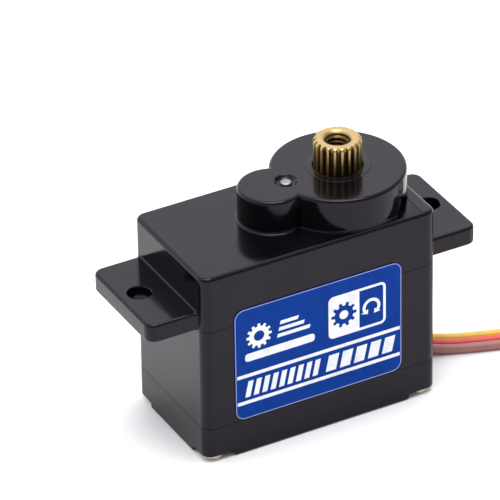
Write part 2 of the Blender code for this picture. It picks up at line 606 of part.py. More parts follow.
def beside(path, off):
    """The path moved sideways, level, by off to its left."""
    res = []
    for i, p in enumerate(path):
        a, b = path[max(i - 1, 0)], path[min(i + 1, len(path) - 1)]
        d = Vector((b.x - a.x, b.y - a.y, 0)).normalized()
        res.append(p + Vector((-d.y, d.x, 0)) * off)
    return res


ENTRY = [(LEAD_EXIT_X + 0.30, -0.01, 1.31), (12.5, -0.10, 1.12), (13.8, -0.36, 0.74), (15.6, -0.94, FLOOR_Z + 0.03),
         (17.2, -1.56, FLOOR_Z), (19.4, -2.33, FLOOR_Z), (21.6, -2.97, FLOOR_Z + 0.02), (24.0, -3.38, 0.63),
         (26.6, -3.50, HANK_Z - 0.04), (HANK_X[0], -HANK_R, HANK_Z)]
OUT_Z = HANK_Z + HANK_TURNS * HANK_RISE
LEAVE = [(HANK_X[1], -HANK_R, OUT_Z + 0.25), (46.6, -3.48, 2.86), (49.6, -3.22, 2.46), (52.2, -2.74, 1.80),
         (54.4, -2.34, 1.42), (CONN_X[0] - 0.30, CONN_Y, CONN_Z)]
HANK_OUT = HANK_R + WIRE_PITCH + WIRE_D / 2 + 0.04


def past_hank(p, side):
    """How far a point lies outside the hank's outline, by its round end."""
    cx = HANK_X[0] if side < 0 else HANK_X[1]
    return math.hypot(p.x - cx, p.y) - HANK_OUT if (p.x - cx) * side > 0 else -1.0


wires = (("lead_signal", 1, M_YELLOW), ("lead_power", 0, M_RED), ("lead_ground", -1, M_BROWN))
for name, k, mat in wires:
    path = beside(smooth_path(ENTRY, 0.25), k * WIRE_PITCH)
    path = [p for p in path if past_hank(p, -1) > 0.30 or p.x < HANK_X[0] - HANK_OUT]
    keep(tube(path[:-1:8] + [path[-1]], WIRE_D), name, mat)
    path = smooth_path(LEAVE, 0.25)
    far = [p.copy() for p in path]
    for i, p in enumerate(beside(path, k)):
        share = min(1.0, max(0.0, (p.x - 50.0) / 5.0))
        share = share * share * (3 - 2 * share)
        far[i] = path[i] + (p - path[i]) * (WIRE_PITCH + (PIN_PITCH - WIRE_PITCH) * share)
    far = [p for p in far if past_hank(p, 1) > 0.30]
    keep(tube(far[:-1:8] + [far[-1]], WIRE_D), name + "_tail", mat)

HANK_TOP = OUT_Z + WIRE_D / 2 + 0.32
hank = prism([stadium(HANK_X[0], HANK_X[1], 0, HANK_OUT)], HANK_Z - WIRE_D / 2 - 0.02, HANK_TOP)
keep(hank, "lead_hank", M_RED)

TIE_X = sum(HANK_X) / 2
tie_out = rounded(-HANK_OUT - 0.42, HANK_OUT + 0.42, 0.03, HANK_TOP + 0.40, 0.5)
tie_in = rounded(-HANK_OUT - 0.08, HANK_OUT + 0.08, 0.36, HANK_TOP + 0.07, 0.25)
tie = prism([tie_out, tie_in], -0.9, 0.9, upright=True)
tie.data.transform(Matrix.Translation((TIE_X * MM, 0, 0)) @ Matrix.Rotation(math.pi / 2, 4, "Z"))
tie = join(tie, box((TIE_X - 1.3, TIE_X + 1.3), (1.4, 3.6), (HANK_TOP + 0.25, HANK_TOP + 1.45)))
keep(tie, "lead_tie", M_DARK)

conn = box(CONN_X, (CONN_Y - CONN_HW, CONN_Y + CONN_HW), (CONN_Z - CONN_HH, CONN_Z + CONN_HH))
conn = bevel_top(conn, CONN_Z + CONN_HH, 0.25, 1)
for k in (1, 0, -1):
    y = CONN_Y + k * PIN_PITCH
    conn = cut(conn, box((CONN_X[0] - 1, CONN_X[1] + 1), (y - 0.85, y + 0.85), (CONN_Z - 0.75, CONN_Z + 0.75)),
               box((CONN_X[0] + 5.0, CONN_X[0] + 7.2), (y - 0.62, y + 0.62), (CONN_Z + 0.5, CONN_Z + 2)))
keep(conn, "connector_housing", M_CHIP)
for i, k in enumerate((1, 0, -1), 1):
    y = CONN_Y + k * PIN_PITCH
    c = cut(box((CONN_X[0] + 1.2, CONN_X[1] - 0.8), (y - 0.78, y + 0.78), (CONN_Z - 0.68, CONN_Z + 0.68)),
            box((CONN_X[0] + 6.5, CONN_X[1] + 1), (y - 0.45, y + 0.45), (CONN_Z - 0.42, CONN_Z + 0.42)))
    keep(c, f"connector_contact_{i}", M_TIN)

for ob in list(CUTTERS.objects):
    ob.hide_render = True
    ob.display_type = "WIRE"
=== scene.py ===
"""Looks of the micro servo motor: camera, lead, case, label, spline, finishes.

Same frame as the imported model: +Z up, origin at the middle of the case's
underside, +X towards the output shaft and the lead, -Y is the labelled face.
The drawing below is in millimetres; MM turns it into metres.
"""
import math

import bmesh
import bpy
from mathutils import Matrix, Vector


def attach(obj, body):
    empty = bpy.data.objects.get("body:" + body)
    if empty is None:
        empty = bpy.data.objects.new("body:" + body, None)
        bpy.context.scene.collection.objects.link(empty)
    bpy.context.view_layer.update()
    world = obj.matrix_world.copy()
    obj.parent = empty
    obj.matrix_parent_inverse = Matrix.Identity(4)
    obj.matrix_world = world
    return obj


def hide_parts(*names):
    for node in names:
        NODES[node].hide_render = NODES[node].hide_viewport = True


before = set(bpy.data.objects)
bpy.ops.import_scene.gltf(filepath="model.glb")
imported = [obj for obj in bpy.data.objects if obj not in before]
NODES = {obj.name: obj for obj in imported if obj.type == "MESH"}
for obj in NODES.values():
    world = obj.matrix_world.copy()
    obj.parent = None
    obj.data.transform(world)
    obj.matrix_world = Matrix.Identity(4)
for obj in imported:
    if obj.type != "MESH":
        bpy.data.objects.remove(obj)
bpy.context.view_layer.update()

MM = 0.001
TAU = 2 * math.pi

# ---------------------------------------------------------------- dimensions
HL, HW = 11.23, 6.13                  # case half sizes
CORNER_R = 0.90
WALL = 0.70
Z_NOTCH = 0.57
Z_SEAM_1, Z_SEAM_2 = 3.36, 13.02
Z_EAR_TOP, Z_CASE_TOP, Z_DOME_TOP, Z_SPLINE_TOP = 14.74, 18.28, 21.36, 24.04
TOP_R, ROOF, DECK = 0.35, 0.78, 0.80
NOTCH_X, NOTCH_Y = 2.75, 2.40
EAR_TIP_X, EAR_TIP_HW, EAR_ROOT_HW, EAR_CORNER_R = 15.80, 5.15, 5.15, 0.9
EAR_HOLE_X, EAR_HOLE_R = 13.95, 1.0
AX_OUT, AX_PIN = 5.12, 0.12
DOME_R, LOBE_X, LOBE_R = 5.84, -1.30, 2.90
DOME_IN_R, LOBE_IN_R, Z_DOME_IN = 5.18, 2.20, 20.50
MODULE, T_WHEEL, BACKLASH = 0.20, 38, 0.055
SPLINE_TEETH, SPLINE_R, SPLINE_ROOT_R = 20, 2.08, 1.80
JOURNAL_R, BUSH_IN_R, BUSH_R = 2.10, 2.15, 2.75
HORN_MOUTH_R = 1.27
PIN_R, POT_SHAFT_R = 0.50, 0.55
STOP_ANGLE = math.radians(108)
SCREW_X, SCREW_Y, SCREW_R, SCREW_HEAD_R = 10.01, 4.91, 0.46, 1.0
POST_X, POST_Y = 8.55, 3.45
LABEL_X, LABEL_Z = (-8.36, 7.69), (3.50, 14.39)
LABEL_Y = -(HW + 0.10)               # outer face of the film

WIRE_D, WIRE_PITCH = 0.80, 0.86
LEAD_Z, LEAD_EXIT_X = 1.34, HL + 0.30
FLOOR_Z = 0.42
HANK_X, HANK_R, HANK_Z, HANK_RISE, HANK_TURNS = (29.0, 44.0), 3.50, 0.84, 0.88, 2
CONN_X, CONN_Y, CONN_Z, CONN_HW, CONN_HH = (56.0, 70.0), -2.2, 1.32, 3.90, 1.28
PIN_PITCH = 2.54

PIECES = bpy.data.collections.new("looks")
TOOLS = bpy.data.collections.new("tools")
bpy.context.scene.collection.children.link(PIECES)
bpy.context.scene.collection.children.link(TOOLS)


# ---------------------------------------------------------------- camera
def set_camera():
    az, el, roll = math.radians(-28.319), math.radians(32.324), math.radians(-1.017)
    back = Vector((math.sin(az) * math.cos(el), -math.cos(az) * math.cos(el), math.sin(el)))
    right = (-back).cross(Vector((0, 0, 1))).normalized()
    up = back.cross(right)
    right, up = right * math.cos(roll) + up * math.sin(roll), up * math.cos(roll) - right * math.sin(roll)
    cam = bpy.data.cameras.new("camera")
    cam.sensor_width = 36.0
    cam.lens = 36.0 * 5364.6 / 500
    cam.clip_start, cam.clip_end = 0.01, 20.0
    ob = bpy.data.objects.new("camera", cam)
    bpy.context.scene.collection.objects.link(ob)
    where = (Vector((-3.35, 0.0, 15.59)) - right * 0.048 - up * 0.0115) * MM + back * 0.451
    m = Matrix((right, up, back)).transposed().to_4x4()
    m.translation = where
    ob.matrix_world = m
    bpy.context.scene.camera = ob


set_camera()


# ---------------------------------------------------------------- shape tools
def mesh_object(name, bm):
    bmesh.ops.recalc_face_normals(bm, faces=bm.faces)
    me = bpy.data.meshes.new(name)
    bm.to_mesh(me)
    bm.free()
    ob = bpy.data.objects.new(name, me)
    ob.hide_render = True
    TOOLS.objects.link(ob)
    return ob


def loft(rings, name="loft"):
    """A closed solid through rings of as many (x, y, z) points each."""
    bm = bmesh.new()
    vs = [[bm.verts.new(Vector(p) * MM) for p in ring] for ring in rings]
    n = len(rings[0])
    for a, b in zip(vs, vs[1:]):
        for i in range(n):
            bm.faces.new((a[i], a[(i + 1) % n], b[(i + 1) % n], b[i]))
    bm.faces.new(list(reversed(vs[0])))
    bm.faces.new(vs[-1])
    return mesh_object(name, bm)


def lathe(profile, cx, cy, seg=48, name="lathe", closed=False):
    """Profile of (radius, z) turned about an upright axis.

    Radius 0 at the ends closes the solid; closed joins last to first.
    """
    bm = bmesh.new()
    rings = []
    for r, z in profile:
        if r < 1e-9:
            rings.append([bm.verts.new(Vector((cx, cy, z)) * MM)])
        else:
            rings.append([bm.verts.new(Vector((cx + r * math.cos(TAU * i / seg), cy + r * math.sin(TAU * i / seg), z))
                                       * MM) for i in range(seg)])
    pairs = list(zip(rings, rings[1:])) + ([(rings[-1], rings[0])] if closed else [])
    for a, b in pairs:
        for i in range(seg):
            j = (i + 1) % seg
            if len(a) == 1 and len(b) == 1:
                continue
            if len(a) == 1:
                bm.faces.new((a[0], b[j], b[i]))
            elif len(b) == 1:
                bm.faces.new((a[i], a[j], b[0]))
            else:
                bm.faces.new((a[i], a[j], b[j], b[i]))
    return mesh_object(name, bm)


def cyl(x, y, z0, z1, r, r2=None, seg=48, name="cyl"):
    return lathe([(0, z0), (r, z0), (r if r2 is None else r2, z1), (0, z1)], x, y, seg, name)


def box(x, y, z, turn=0.0, about=(0.0, 0.0), name="box"):
    bm = bmesh.new()
    size = [b - a for a, b in (x, y, z)]
    mid = [(a + b) / 2 for a, b in (x, y, z)]
    bmesh.ops.create_cube(bm, size=1.0, matrix=Matrix.Translation(Vector(mid) * MM)
                          @ Matrix.Diagonal((size[0] * MM, size[1] * MM, size[2] * MM, 1.0)))
    ob = mesh_object(name, bm)
    if turn:
        o = Vector((about[0], about[1], 0)) * MM
        ob.data.transform(Matrix.Translation(o) @ Matrix.Rotation(turn, 4, "Z") @ Matrix.Translation(-o))
    return ob


def prism(loops, z0, z1, name="prism", upright=False):
    """A flat outline, with holes, given thickness; upright puts it in XZ."""
    cu = bpy.data.curves.new(name, "CURVE")
    cu.dimensions = "2D"
    cu.fill_mode = "BOTH"
    cu.extrude = (z1 - z0) / 2 * MM
    for loop in loops:
        sp = cu.splines.new("POLY")
        sp.points.add(len(loop) - 1)
        for p, (a, b) in zip(sp.points, loop):
            p.co = (a * MM, b * MM, 0.0, 1.0)
        sp.use_cyclic_u = True
    ob = bpy.data.objects.new(name, cu)
    TOOLS.objects.link(ob)
    m = Matrix.Translation((0, 0, (z0 + z1) / 2 * MM))
    if upright:
        m = Matrix.Translation((0, (z0 + z1) / 2 * MM, 0)) @ Matrix.Rotation(math.pi / 2, 4, "X")
    bpy.context.view_layer.update()
    deps = bpy.context.evaluated_depsgraph_get()
    me = bpy.data.meshes.new_from_object(ob.evaluated_get(deps))
    me.transform(m)
    bpy.data.objects.remove(ob)
    bpy.data.curves.remove(cu)
    bm = bmesh.new()
    bm.from_mesh(me)
    bpy.data.meshes.remove(me)
    bmesh.ops.remove_doubles(bm, verts=bm.verts, dist=1e-7)
    return mesh_object(name, bm)


def drop(ob):
    data = ob.data
    bpy.data.objects.remove(ob)
    bpy.data.meshes.remove(data)


def boolean(ob, how, others):
    for other in others:
        mod = ob.modifiers.new(how.lower(), "BOOLEAN")
        mod.operation = how
        mod.solver = "EXACT"
        mod.object = other
        deps = bpy.context.evaluated_depsgraph_get()
        deps.update()
        me = bpy.data.meshes.new_from_object(ob.evaluated_get(deps))
        ob.modifiers.clear()
        old, ob.data = ob.data, me
        bpy.data.meshes.remove(old)
        drop(other)
    return ob


def join(ob, *others):
    return boolean(ob, "UNION", others)


def cut(ob, *others):
    return boolean(ob, "DIFFERENCE", others)


def clip(ob, other):
    return boolean(ob, "INTERSECT", [other])


def soften(ob, width, segments=2, angle=35.0, keep=None):
    """Round the sharp edges of a solid; keep(edge midpoint in mm) picks them."""
    bm = bmesh.new()
    bm.from_mesh(ob.data)
    bmesh.ops.remove_doubles(bm, verts=bm.verts, dist=1e-7)
    bmesh.ops.dissolve_limit(bm, angle_limit=math.radians(0.5), verts=bm.verts, edges=bm.edges)
    edges = [e for e in bm.edges if e.calc_face_angle(0) > math.radians(angle)
             and (keep is None or keep((e.verts[0].co + e.verts[1].co) / 2 / MM))]
    bmesh.ops.bevel(bm, geom=edges, offset=width * MM, segments=segments, profile=0.5, affect="EDGES",
                    clamp_overlap=True)
    bm.to_mesh(ob.data)
    bm.free()
    return ob


def piece(ob, name, body, mat, smooth=32.0, weighted=True):
    """Make a finished solid a visible piece that rides on a body."""
    bm = bmesh.new()
    bm.from_mesh(ob.data)
    bmesh.ops.remove_doubles(bm, verts=bm.verts, dist=1e-7)
    bmesh.ops.dissolve_degenerate(bm, edges=bm.edges, dist=1e-7)
    bm.to_mesh(ob.data)
    bm.free()
    ob.name = name
    ob.data.name = name
    ob.data.materials.clear()
    ob.data.materials.append(mat)
    TOOLS.objects.unlink(ob)
    PIECES.objects.link(ob)
    ob.hide_render = False
    ob.data.shade_smooth()
    ob.data.set_sharp_from_angle(angle=math.radians(smooth))
    if weighted:
        mod = ob.modifiers.new("weighted", "WEIGHTED_NORMAL")
        mod.keep_sharp = True
        mod.weight = 50
    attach(ob, body)
    return ob


def arc(cx, cy, r, a0, a1, n):
    return [(cx + r * math.cos(a0 + (a1 - a0) * i / n), cy + r * math.sin(a0 + (a1 - a0) * i / n))
            for i in range(n + 1)]


def rounded(x0, x1, y0, y1, r, n=8):
    out = []
    for cx, cy, a in ((x1 - r, y0 + r, -90), (x1 - r, y1 - r, 0), (x0 + r, y1 - r, 90), (x0 + r, y0 + r, 180)):
        out += arc(cx, cy, r, math.radians(a), math.radians(a + 90), n)
    return out


def circle(cx, cy, r, n=48):
    return [(cx + r * math.cos(TAU * i / n), cy + r * math.sin(TAU * i / n)) for i in range(n)]


def quarter(r, n):
    """(inset, rise) pairs round a convex quarter circle of radius r, foot first."""
    return [(r * (1 - math.cos(math.pi / 2 * i / n)), r * math.sin(math.pi / 2 * i / n)) for i in range(1, n + 1)]


# ---------------------------------------------------------------- finishes
def lin(r, g, b):
    """Linear colour from screen values 0..255."""
    return tuple((c / 255 / 12.92 if c <= 10 else ((c / 255 + 0.055) / 1.055) ** 2.4) for c in (r, g, b))


class Nodes:
    def __init__(self, name):
        self.mat = bpy.data.materials.new(name)
        self.mat.use_nodes = True
        self.tree = self.mat.node_tree
        self.bsdf = self.tree.nodes["Principled BSDF"]
        self.coord = self.tree.nodes.new("ShaderNodeTexCoord").outputs["Object"]

    def add(self, kind, **props):
        n = self.tree.nodes.new(kind)
        for k, v in props.items():
            setattr(n, k, v)
        return n

    def link(self, a, b):
        self.tree.links.new(a, b)

    def noise(self, scale, detail=3.0, rough=0.55, stretch=None, distort=0.0):
        n = self.add("ShaderNodeTexNoise")
        n.inputs["Scale"].default_value = scale
        n.inputs["Detail"].default_value = detail
        n.inputs["Roughness"].default_value = rough
        n.inputs["Distortion"].default_value = distort
        src = self.coord
        if stretch:
            m = self.add("ShaderNodeMapping")
            m.inputs["Scale"].default_value = stretch
            self.link(src, m.inputs["Vector"])
            src = m.outputs["Vector"]
        self.link(src, n.inputs["Vector"])
        return n.outputs["Fac"]

    def span(self, fac, lo, hi, frm=(0.3, 0.7)):
        m = self.add("ShaderNodeMapRange")
        m.inputs["From Min"].default_value, m.inputs["From Max"].default_value = frm
        m.inputs["To Min"].default_value, m.inputs["To Max"].default_value = lo, hi
        self.link(fac, m.inputs["Value"])
        return m.outputs["Result"]

    def math(self, how, a, b=None):
        m = self.add("ShaderNodeMath", operation=how)
        for i, v in enumerate((a, b)):
            if v is None:
                continue
            if isinstance(v, (int, float)):
                m.inputs[i].default_value = v
            else:
                self.link(v, m.inputs[i])
        return m.outputs[0]

    def blend(self, fac, a, b):
        m = self.add("ShaderNodeMix", data_type="RGBA")
        self.link(fac, m.inputs[0])
        for v, socket in ((a, m.inputs[6]), (b, m.inputs[7])):
            if isinstance(v, tuple):
                socket.default_value = (*v, 1.0)
            else:
                self.link(v, socket)
        return m.outputs[2]

    def bump(self, height, strength, distance, normal=None):
        b = self.add("ShaderNodeBump")
        b.inputs["Strength"].default_value = strength
        b.inputs["Distance"].default_value = distance
        self.link(height, b.inputs["Height"])
        if normal is not None:
            self.link(normal, b.inputs["Normal"])
        return b.outputs["Normal"]

    def set(self, **values):
        for k, v in values.items():
            socket = self.bsdf.inputs[k.replace("_", " ")]
            if isinstance(v, (int, float)):
                socket.default_value = v
            elif isinstance(v, tuple):
                socket.default_value = (*v, 1.0) if len(v) == 3 else v
            else:
                self.link(v, socket)
        return self.mat


def moulded(name, colour, rough, spec=0.5, grain=0.25, vary=0.12, scale=2600, metal=0.0, coat=0.0, ior=1.45,
            sink=0.0, cast=(1.0, 1.0, 1.0)):
    """Moulded or filled polymer: fine spark-eroded grain, flow and sink marks."""
    n = Nodes(name)
    flow = n.noise(260, 4, 0.6, (1.0, 1.0, 0.45))
    fine = n.noise(scale, 2, 0.5)
    coarse = n.noise(scale * 0.30, 3, 0.55)
    light = tuple(min(1.0, c * (1 + vary) + 0.0006) for c in colour)
    dark = tuple(c * (1 - vary) for c in colour)
    base = n.blend(n.span(flow, 0.0, 1.0), dark, light)
    ro = n.math("ADD", n.span(flow, rough - 0.035, rough + 0.035), n.span(fine, -0.02, 0.02))
    nrm = n.bump(coarse, grain * 0.5, 6e-6)
    nrm = n.bump(fine, grain, 2.5e-6, nrm)
    if sink:
        nrm = n.bump(n.noise(170, 2, 0.4), sink, 6e-5, nrm)
    return n.set(Base_Color=base, Roughness=ro, Normal=nrm, Metallic=metal, IOR=ior,
                 Specular_IOR_Level=spec, Specular_Tint=cast, Coat_Weight=coat, Coat_Roughness=0.12)


def metal(name, colour, rough, tint, vary=0.3, brushed=(1.0, 1.0, 1.0), scale=1500, bump=0.12, centre=None,
          rings=0.0):
    """Metal with cloudy tarnish, fine marks, and turning marks round centre."""
    n = Nodes(name)
    cloud = n.noise(500, 4, 0.6)
    marks = n.noise(scale, 3, 0.6, brushed)
    base = n.blend(n.span(cloud, 0.0, vary), colour, tint)
    ro = n.math("ADD", n.span(cloud, rough - 0.05, rough + 0.06), n.span(marks, -0.04, 0.05))
    nrm = n.bump(marks, bump, 3e-6)
    if centre is not None:
        sep = n.add("ShaderNodeSeparateXYZ")
        n.link(n.coord, sep.inputs[0])
        dx = n.math("SUBTRACT", sep.outputs[0], centre[0] * MM)
        dy = n.math("SUBTRACT", sep.outputs[1], centre[1] * MM)
        rad = n.math("SQRT", n.math("ADD", n.math("MULTIPLY", dx, dx), n.math("MULTIPLY", dy, dy)))
        wave = n.math("SINE", n.math("MULTIPLY", rad, TAU / (0.045 * MM)))
        nrm = n.bump(wave, rings, 1.2e-6, nrm)
    return n.set(Base_Color=base, Roughness=ro, Normal=nrm, Metallic=1.0)


M_CASE = moulded("case_plastic", (0.0022, 0.0018, 0.0027), 0.15, spec=0.28, grain=0.06, vary=0.25, sink=0.6,
                 cast=(0.94, 0.85, 1.0))
M_INNER = moulded("inner_polymer", (0.012, 0.012, 0.013), 0.45, spec=0.4, grain=0.3)
M_BUSH = moulded("bush_polymer", (0.0036, 0.0032, 0.0042), 0.17, spec=0.29, grain=0.06, cast=(0.94, 0.87, 1.0))
M_WHITE = moulded("white_nylon", (0.72, 0.71, 0.66), 0.42, vary=0.05, grain=0.3)
M_CHIP = moulded("chip_epoxy", (0.016, 0.016, 0.017), 0.55, grain=0.6, scale=5200)
M_CONN = moulded("connector_black", (0.010, 0.010, 0.011), 0.38, spec=0.45, grain=0.3)
M_TIE = moulded("tie_nylon", (0.014, 0.014, 0.015), 0.36, spec=0.5, grain=0.25)
M_RUBBER = moulded("grommet_rubber", (0.012, 0.012, 0.012), 0.62, spec=0.35, grain=0.7)
M_BOARD = moulded("board_laminate", (0.008, 0.085, 0.035), 0.34, spec=0.5, vary=0.3, grain=0.2, scale=4200)
M_CERAMIC = moulded("ceramic", (0.40, 0.27, 0.15), 0.48, grain=0.3)
M_FERRITE = moulded("ferrite", (0.045, 0.045, 0.050), 0.55, grain=0.8, vary=0.3)
M_CARBON = moulded("brush_carbon", (0.03, 0.03, 0.031), 0.5, grain=0.8, vary=0.3)

M_BRASS = metal("gear_brass", (0.80, 0.60, 0.29), 0.26, (0.52, 0.36, 0.16), bump=0.15)
M_STEEL = metal("steel", (0.66, 0.66, 0.67), 0.24, (0.46, 0.46, 0.48), brushed=(1.0, 1.0, 0.15))
M_PIN = metal("pin_steel", (0.36, 0.36, 0.37), 0.42, (0.16, 0.16, 0.17), vary=0.9, scale=2400, bump=0.9,
              centre=(AX_PIN, 0), rings=0.10)
M_SCREW = metal("screw_steel", (0.62, 0.57, 0.44), 0.30, (0.42, 0.38, 0.29), vary=0.5)
M_BRONZE = metal("bush_bronze", (0.50, 0.33, 0.18), 0.42, (0.33, 0.20, 0.10), vary=0.6, bump=0.3, scale=3000)
M_COPPER = metal("copper", (0.85, 0.42, 0.22), 0.28, (0.60, 0.24, 0.11), brushed=(0.2, 0.2, 6.0), bump=0.5)
M_TIN = metal("tinned_metal", (0.74, 0.73, 0.70), 0.30, (0.58, 0.56, 0.50), vary=0.5)


def spline_brass():
    """Turned and hobbed brass: bright tips, painted shade in the grooves and the bore, darker towards the foot."""
    n = Nodes("spline_brass")
    cloud = n.noise(700, 4, 0.6)
    marks = n.noise(2600, 3, 0.6, (1.0, 1.0, 0.12))
    sep = n.add("ShaderNodeSeparateXYZ")
    n.link(n.coord, sep.inputs[0])
    dx = n.math("SUBTRACT", sep.outputs[0], AX_OUT * MM)
    rad = n.math("SQRT", n.math("ADD", n.math("MULTIPLY", dx, dx),
                                n.math("MULTIPLY", sep.outputs[1], sep.outputs[1])))
    # painted shade: the grooves between the teeth are coloured dark below the rounded top
    groove = n.span(rad, 1.0, 0.0, (1.86 * MM, 2.05 * MM))
    low = n.span(sep.outputs[2], 1.0, 0.0, ((Z_SPLINE_TOP - 0.50) * MM, (Z_SPLINE_TOP - 0.16) * MM))
    groove = n.math("MULTIPLY", groove, low)
    # painted shade: the inside of the tapped hole is coloured dark
    bore = n.span(rad, 1.0, 0.0, (1.05 * MM, 1.20 * MM))
    groove_and_bore_shade = n.math("MAXIMUM", groove, bore)
    # the spline is coloured darker towards its foot, next to the bush
    foot = n.span(sep.outputs[2], 1.0, 0.0, (Z_DOME_TOP * MM, (Z_DOME_TOP + 1.3) * MM))
    brass_tone = n.blend(n.span(cloud, 0.0, 0.6), (0.52, 0.38, 0.17), (0.36, 0.25, 0.10))
    brass_tone = n.blend(n.math("MULTIPLY", foot, 0.75), brass_tone, (0.17, 0.105, 0.040))
    # the painted shade colour fills the grooves and the bore
    base = n.blend(groove_and_bore_shade, brass_tone, (0.085, 0.050, 0.017))
    ro = n.math("ADD", n.span(cloud, 0.27, 0.37), n.span(marks, -0.03, 0.05))
    wave = n.math("SINE", n.math("MULTIPLY", rad, TAU / (0.05 * MM)))
    nrm = n.bump(marks, 0.15, 3e-6)
    nrm = n.bump(wave, 0.12, 1.2e-6, nrm)
    return n.set(Base_Color=base, Roughness=ro, Normal=nrm, Metallic=1.0)


M_SPLINE = spline_brass()


def film(name, colour, rough, weave=0.10):
    """Printed polyester film: ink on a faint orange-peel surface."""
    n = Nodes(name)
    ink = n.noise(900, 3, 0.55)
    peel = n.noise(1400, 2, 0.5)
    base = n.blend(n.span(ink, 0.0, 1.0), tuple(c * 0.90 for c in colour), tuple(min(1.0, c * 1.10) for c in colour))
    nrm = n.bump(peel, weave, 4e-6)
    return n.set(Base_Color=base, Roughness=n.span(ink, rough - 0.03, rough + 0.03), Normal=nrm,
                 Specular_IOR_Level=0.06)


M_FILM = film("label_film", (0.0004, 0.038, 0.265), 0.45)
M_PRINT = film("label_print", (0.86, 0.88, 0.90), 0.34)
M_EDGE = film("label_edge", (0.34, 0.38, 0.72), 0.34)


def insulation(name, colour):
    """PVC insulation: soft gloss and faint handling marks."""
    n = Nodes(name)
    cloud = n.noise(350, 4, 0.6)
    fine = n.noise(5200, 2, 0.5)
    base = n.blend(n.span(cloud, 0.0, 1.0), tuple(c * 0.88 for c in colour), tuple(min(1.0, c * 1.10) for c in colour))
    nrm = n.bump(cloud, 0.18, 1.5e-5)
    nrm = n.bump(fine, 0.25, 2.5e-6, nrm)
    return n.set(Base_Color=base, Roughness=n.span(cloud, 0.36, 0.46), Normal=nrm, Specular_IOR_Level=0.45,
                 Subsurface_Weight=0.0)


M_YELLOW = insulation("wire_yellow", lin(225, 186, 70))
M_RED = insulation("wire_red", lin(212, 76, 70))
M_BROWN = insulation("wire_brown", lin(160, 106, 98))


# ---------------------------------------------------------------- lead
def smooth_path(points, step):
    """Points step apart along a Catmull-Rom curve through the given points."""
    pts = [Vector(p) for p in points]
    pts = [pts[0] * 2 - pts[1]] + pts + [pts[-1] * 2 - pts[-2]]
    fine = []
    for i in range(1, len(pts) - 2):
        a, b, c, d = pts[i - 1:i + 3]
        for k in range(24):
            t = k / 24
            fine.append(0.5 * ((2 * b) + (c - a) * t + (2 * a - 5 * b + 4 * c - d) * t * t
                               + (3 * b - a - 3 * c + d) * t ** 3))
    fine.append(pts[-2])
    return even(fine, step)


def even(fine, step):
    out, run = [fine[0]], 0.0
    total = sum((q - p).length for p, q in zip(fine, fine[1:]))
    want = total / max(2, round(total / step))
    for p, q in zip(fine, fine[1:]):
        seg = (q - p).length
        while run + seg >= want - 1e-9 and seg > 0:
            p = p.lerp(q, (want - run) / seg)
            out.append(p.copy())
            seg = (q - p).length
            run = 0.0
        run += seg
    if (out[-1] - fine[-1]).length > want * 0.4:
        out.append(fine[-1])
    else:
        out[-1] = fine[-1]
    return out


ENTRY = [(LEAD_EXIT_X - 0.15, 0.0, LEAD_Z), (11.6, -0.01, 1.31), (12.5, -0.10, 1.12), (13.8, -0.36, 0.74),
         (15.6, -0.94, FLOOR_Z + 0.03), (17.2, -1.56, FLOOR_Z), (19.4, -2.33, FLOOR_Z), (21.6, -2.97, FLOOR_Z + 0.02),
         (24.0, -3.38, 0.63), (26.6, -3.50, HANK_Z - 0.04), (HANK_X[0], -HANK_R, HANK_Z)]
TURN = 2 * (HANK_X[1] - HANK_X[0]) + TAU * HANK_R
OUT_Z = HANK_Z + HANK_TURNS * HANK_RISE
LEAVE = [(HANK_X[1], -HANK_R, OUT_Z + 0.25), (46.6, -3.48, 2.86), (49.6, -3.22, 2.46), (52.2, -2.74, 1.80),
         (54.4, -2.34, 1.42), (CONN_X[0] - 0.30, CONN_Y, CONN_Z), (CONN_X[0] + 1.15, CONN_Y, CONN_Z)]


def hank_point(s):
    """A point of the hank's middle line, s along it from its start."""
    run = HANK_X[1] - HANK_X[0]
    bend = math.pi * HANK_R
    z = HANK_Z + HANK_RISE * s / TURN
    t = s % TURN
    if t < run:
        return Vector((HANK_X[0] + t, -HANK_R, z))
    t -= run
    if t < bend:
        a = -math.pi / 2 + t / HANK_R
        return Vector((HANK_X[1] + HANK_R * math.cos(a), HANK_R * math.sin(a), z))
    t -= bend
    if t < run:
        return Vector((HANK_X[1] - t, HANK_R, z))
    a = math.pi / 2 + (t - run) / HANK_R
    return Vector((HANK_X[0] + HANK_R * math.cos(a), HANK_R * math.sin(a), z))


def lead_line(k):
    """One wire of the lead, k pitches to the left of its middle line."""
    first = smooth_path(ENTRY, 0.30)
    length = HANK_TURNS * TURN + HANK_X[1] - HANK_X[0]
    n = int(length / 0.30)
    middle = first[:-1] + [hank_point(length * i / n) for i in range(n)]
    last = smooth_path(LEAVE, 0.30)
    line = middle + last
    out = []
    for i, p in enumerate(line):
        a, b = line[max(i - 1, 0)], line[min(i + 1, len(line) - 1)]
        d = Vector((b.x - a.x, b.y - a.y, 0)).normalized()
        off = k * WIRE_PITCH
        if i >= len(middle):
            share = min(1.0, max(0.0, (p.x - 50.0) / 5.0))
            share = share * share * (3 - 2 * share)
            off = k * (WIRE_PITCH + (PIN_PITCH - WIRE_PITCH) * share)
        out.append(p + Vector((-d.y, d.x, 0)) * off)
    for _ in range(3):
        out = [out[0]] + [(a + b * 2 + c) / 4 for a, b, c in zip(out, out[1:], out[2:])] + [out[-1]]
    return even(out, 0.30)


def wire(name, k, mat):
    line = lead_line(k)
    cu = bpy.data.curves.new(name, "CURVE")
    cu.dimensions = "3D"
    cu.bevel_depth = WIRE_D / 2 * MM
    cu.bevel_resolution = 5
    cu.use_fill_caps = True
    sp = cu.splines.new("POLY")
    sp.points.add(len(line) - 1)
    for p, q in zip(sp.points, line):
        p.co = (*(q * MM), 1.0)
    sp.use_smooth = True
    cu.materials.append(mat)
    ob = bpy.data.objects.new(name, cu)
    PIECES.objects.link(ob)
    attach(ob, "case")
    length = sum((b - a).length for a, b in zip(line, line[1:]))
    return ob, length, line[0]


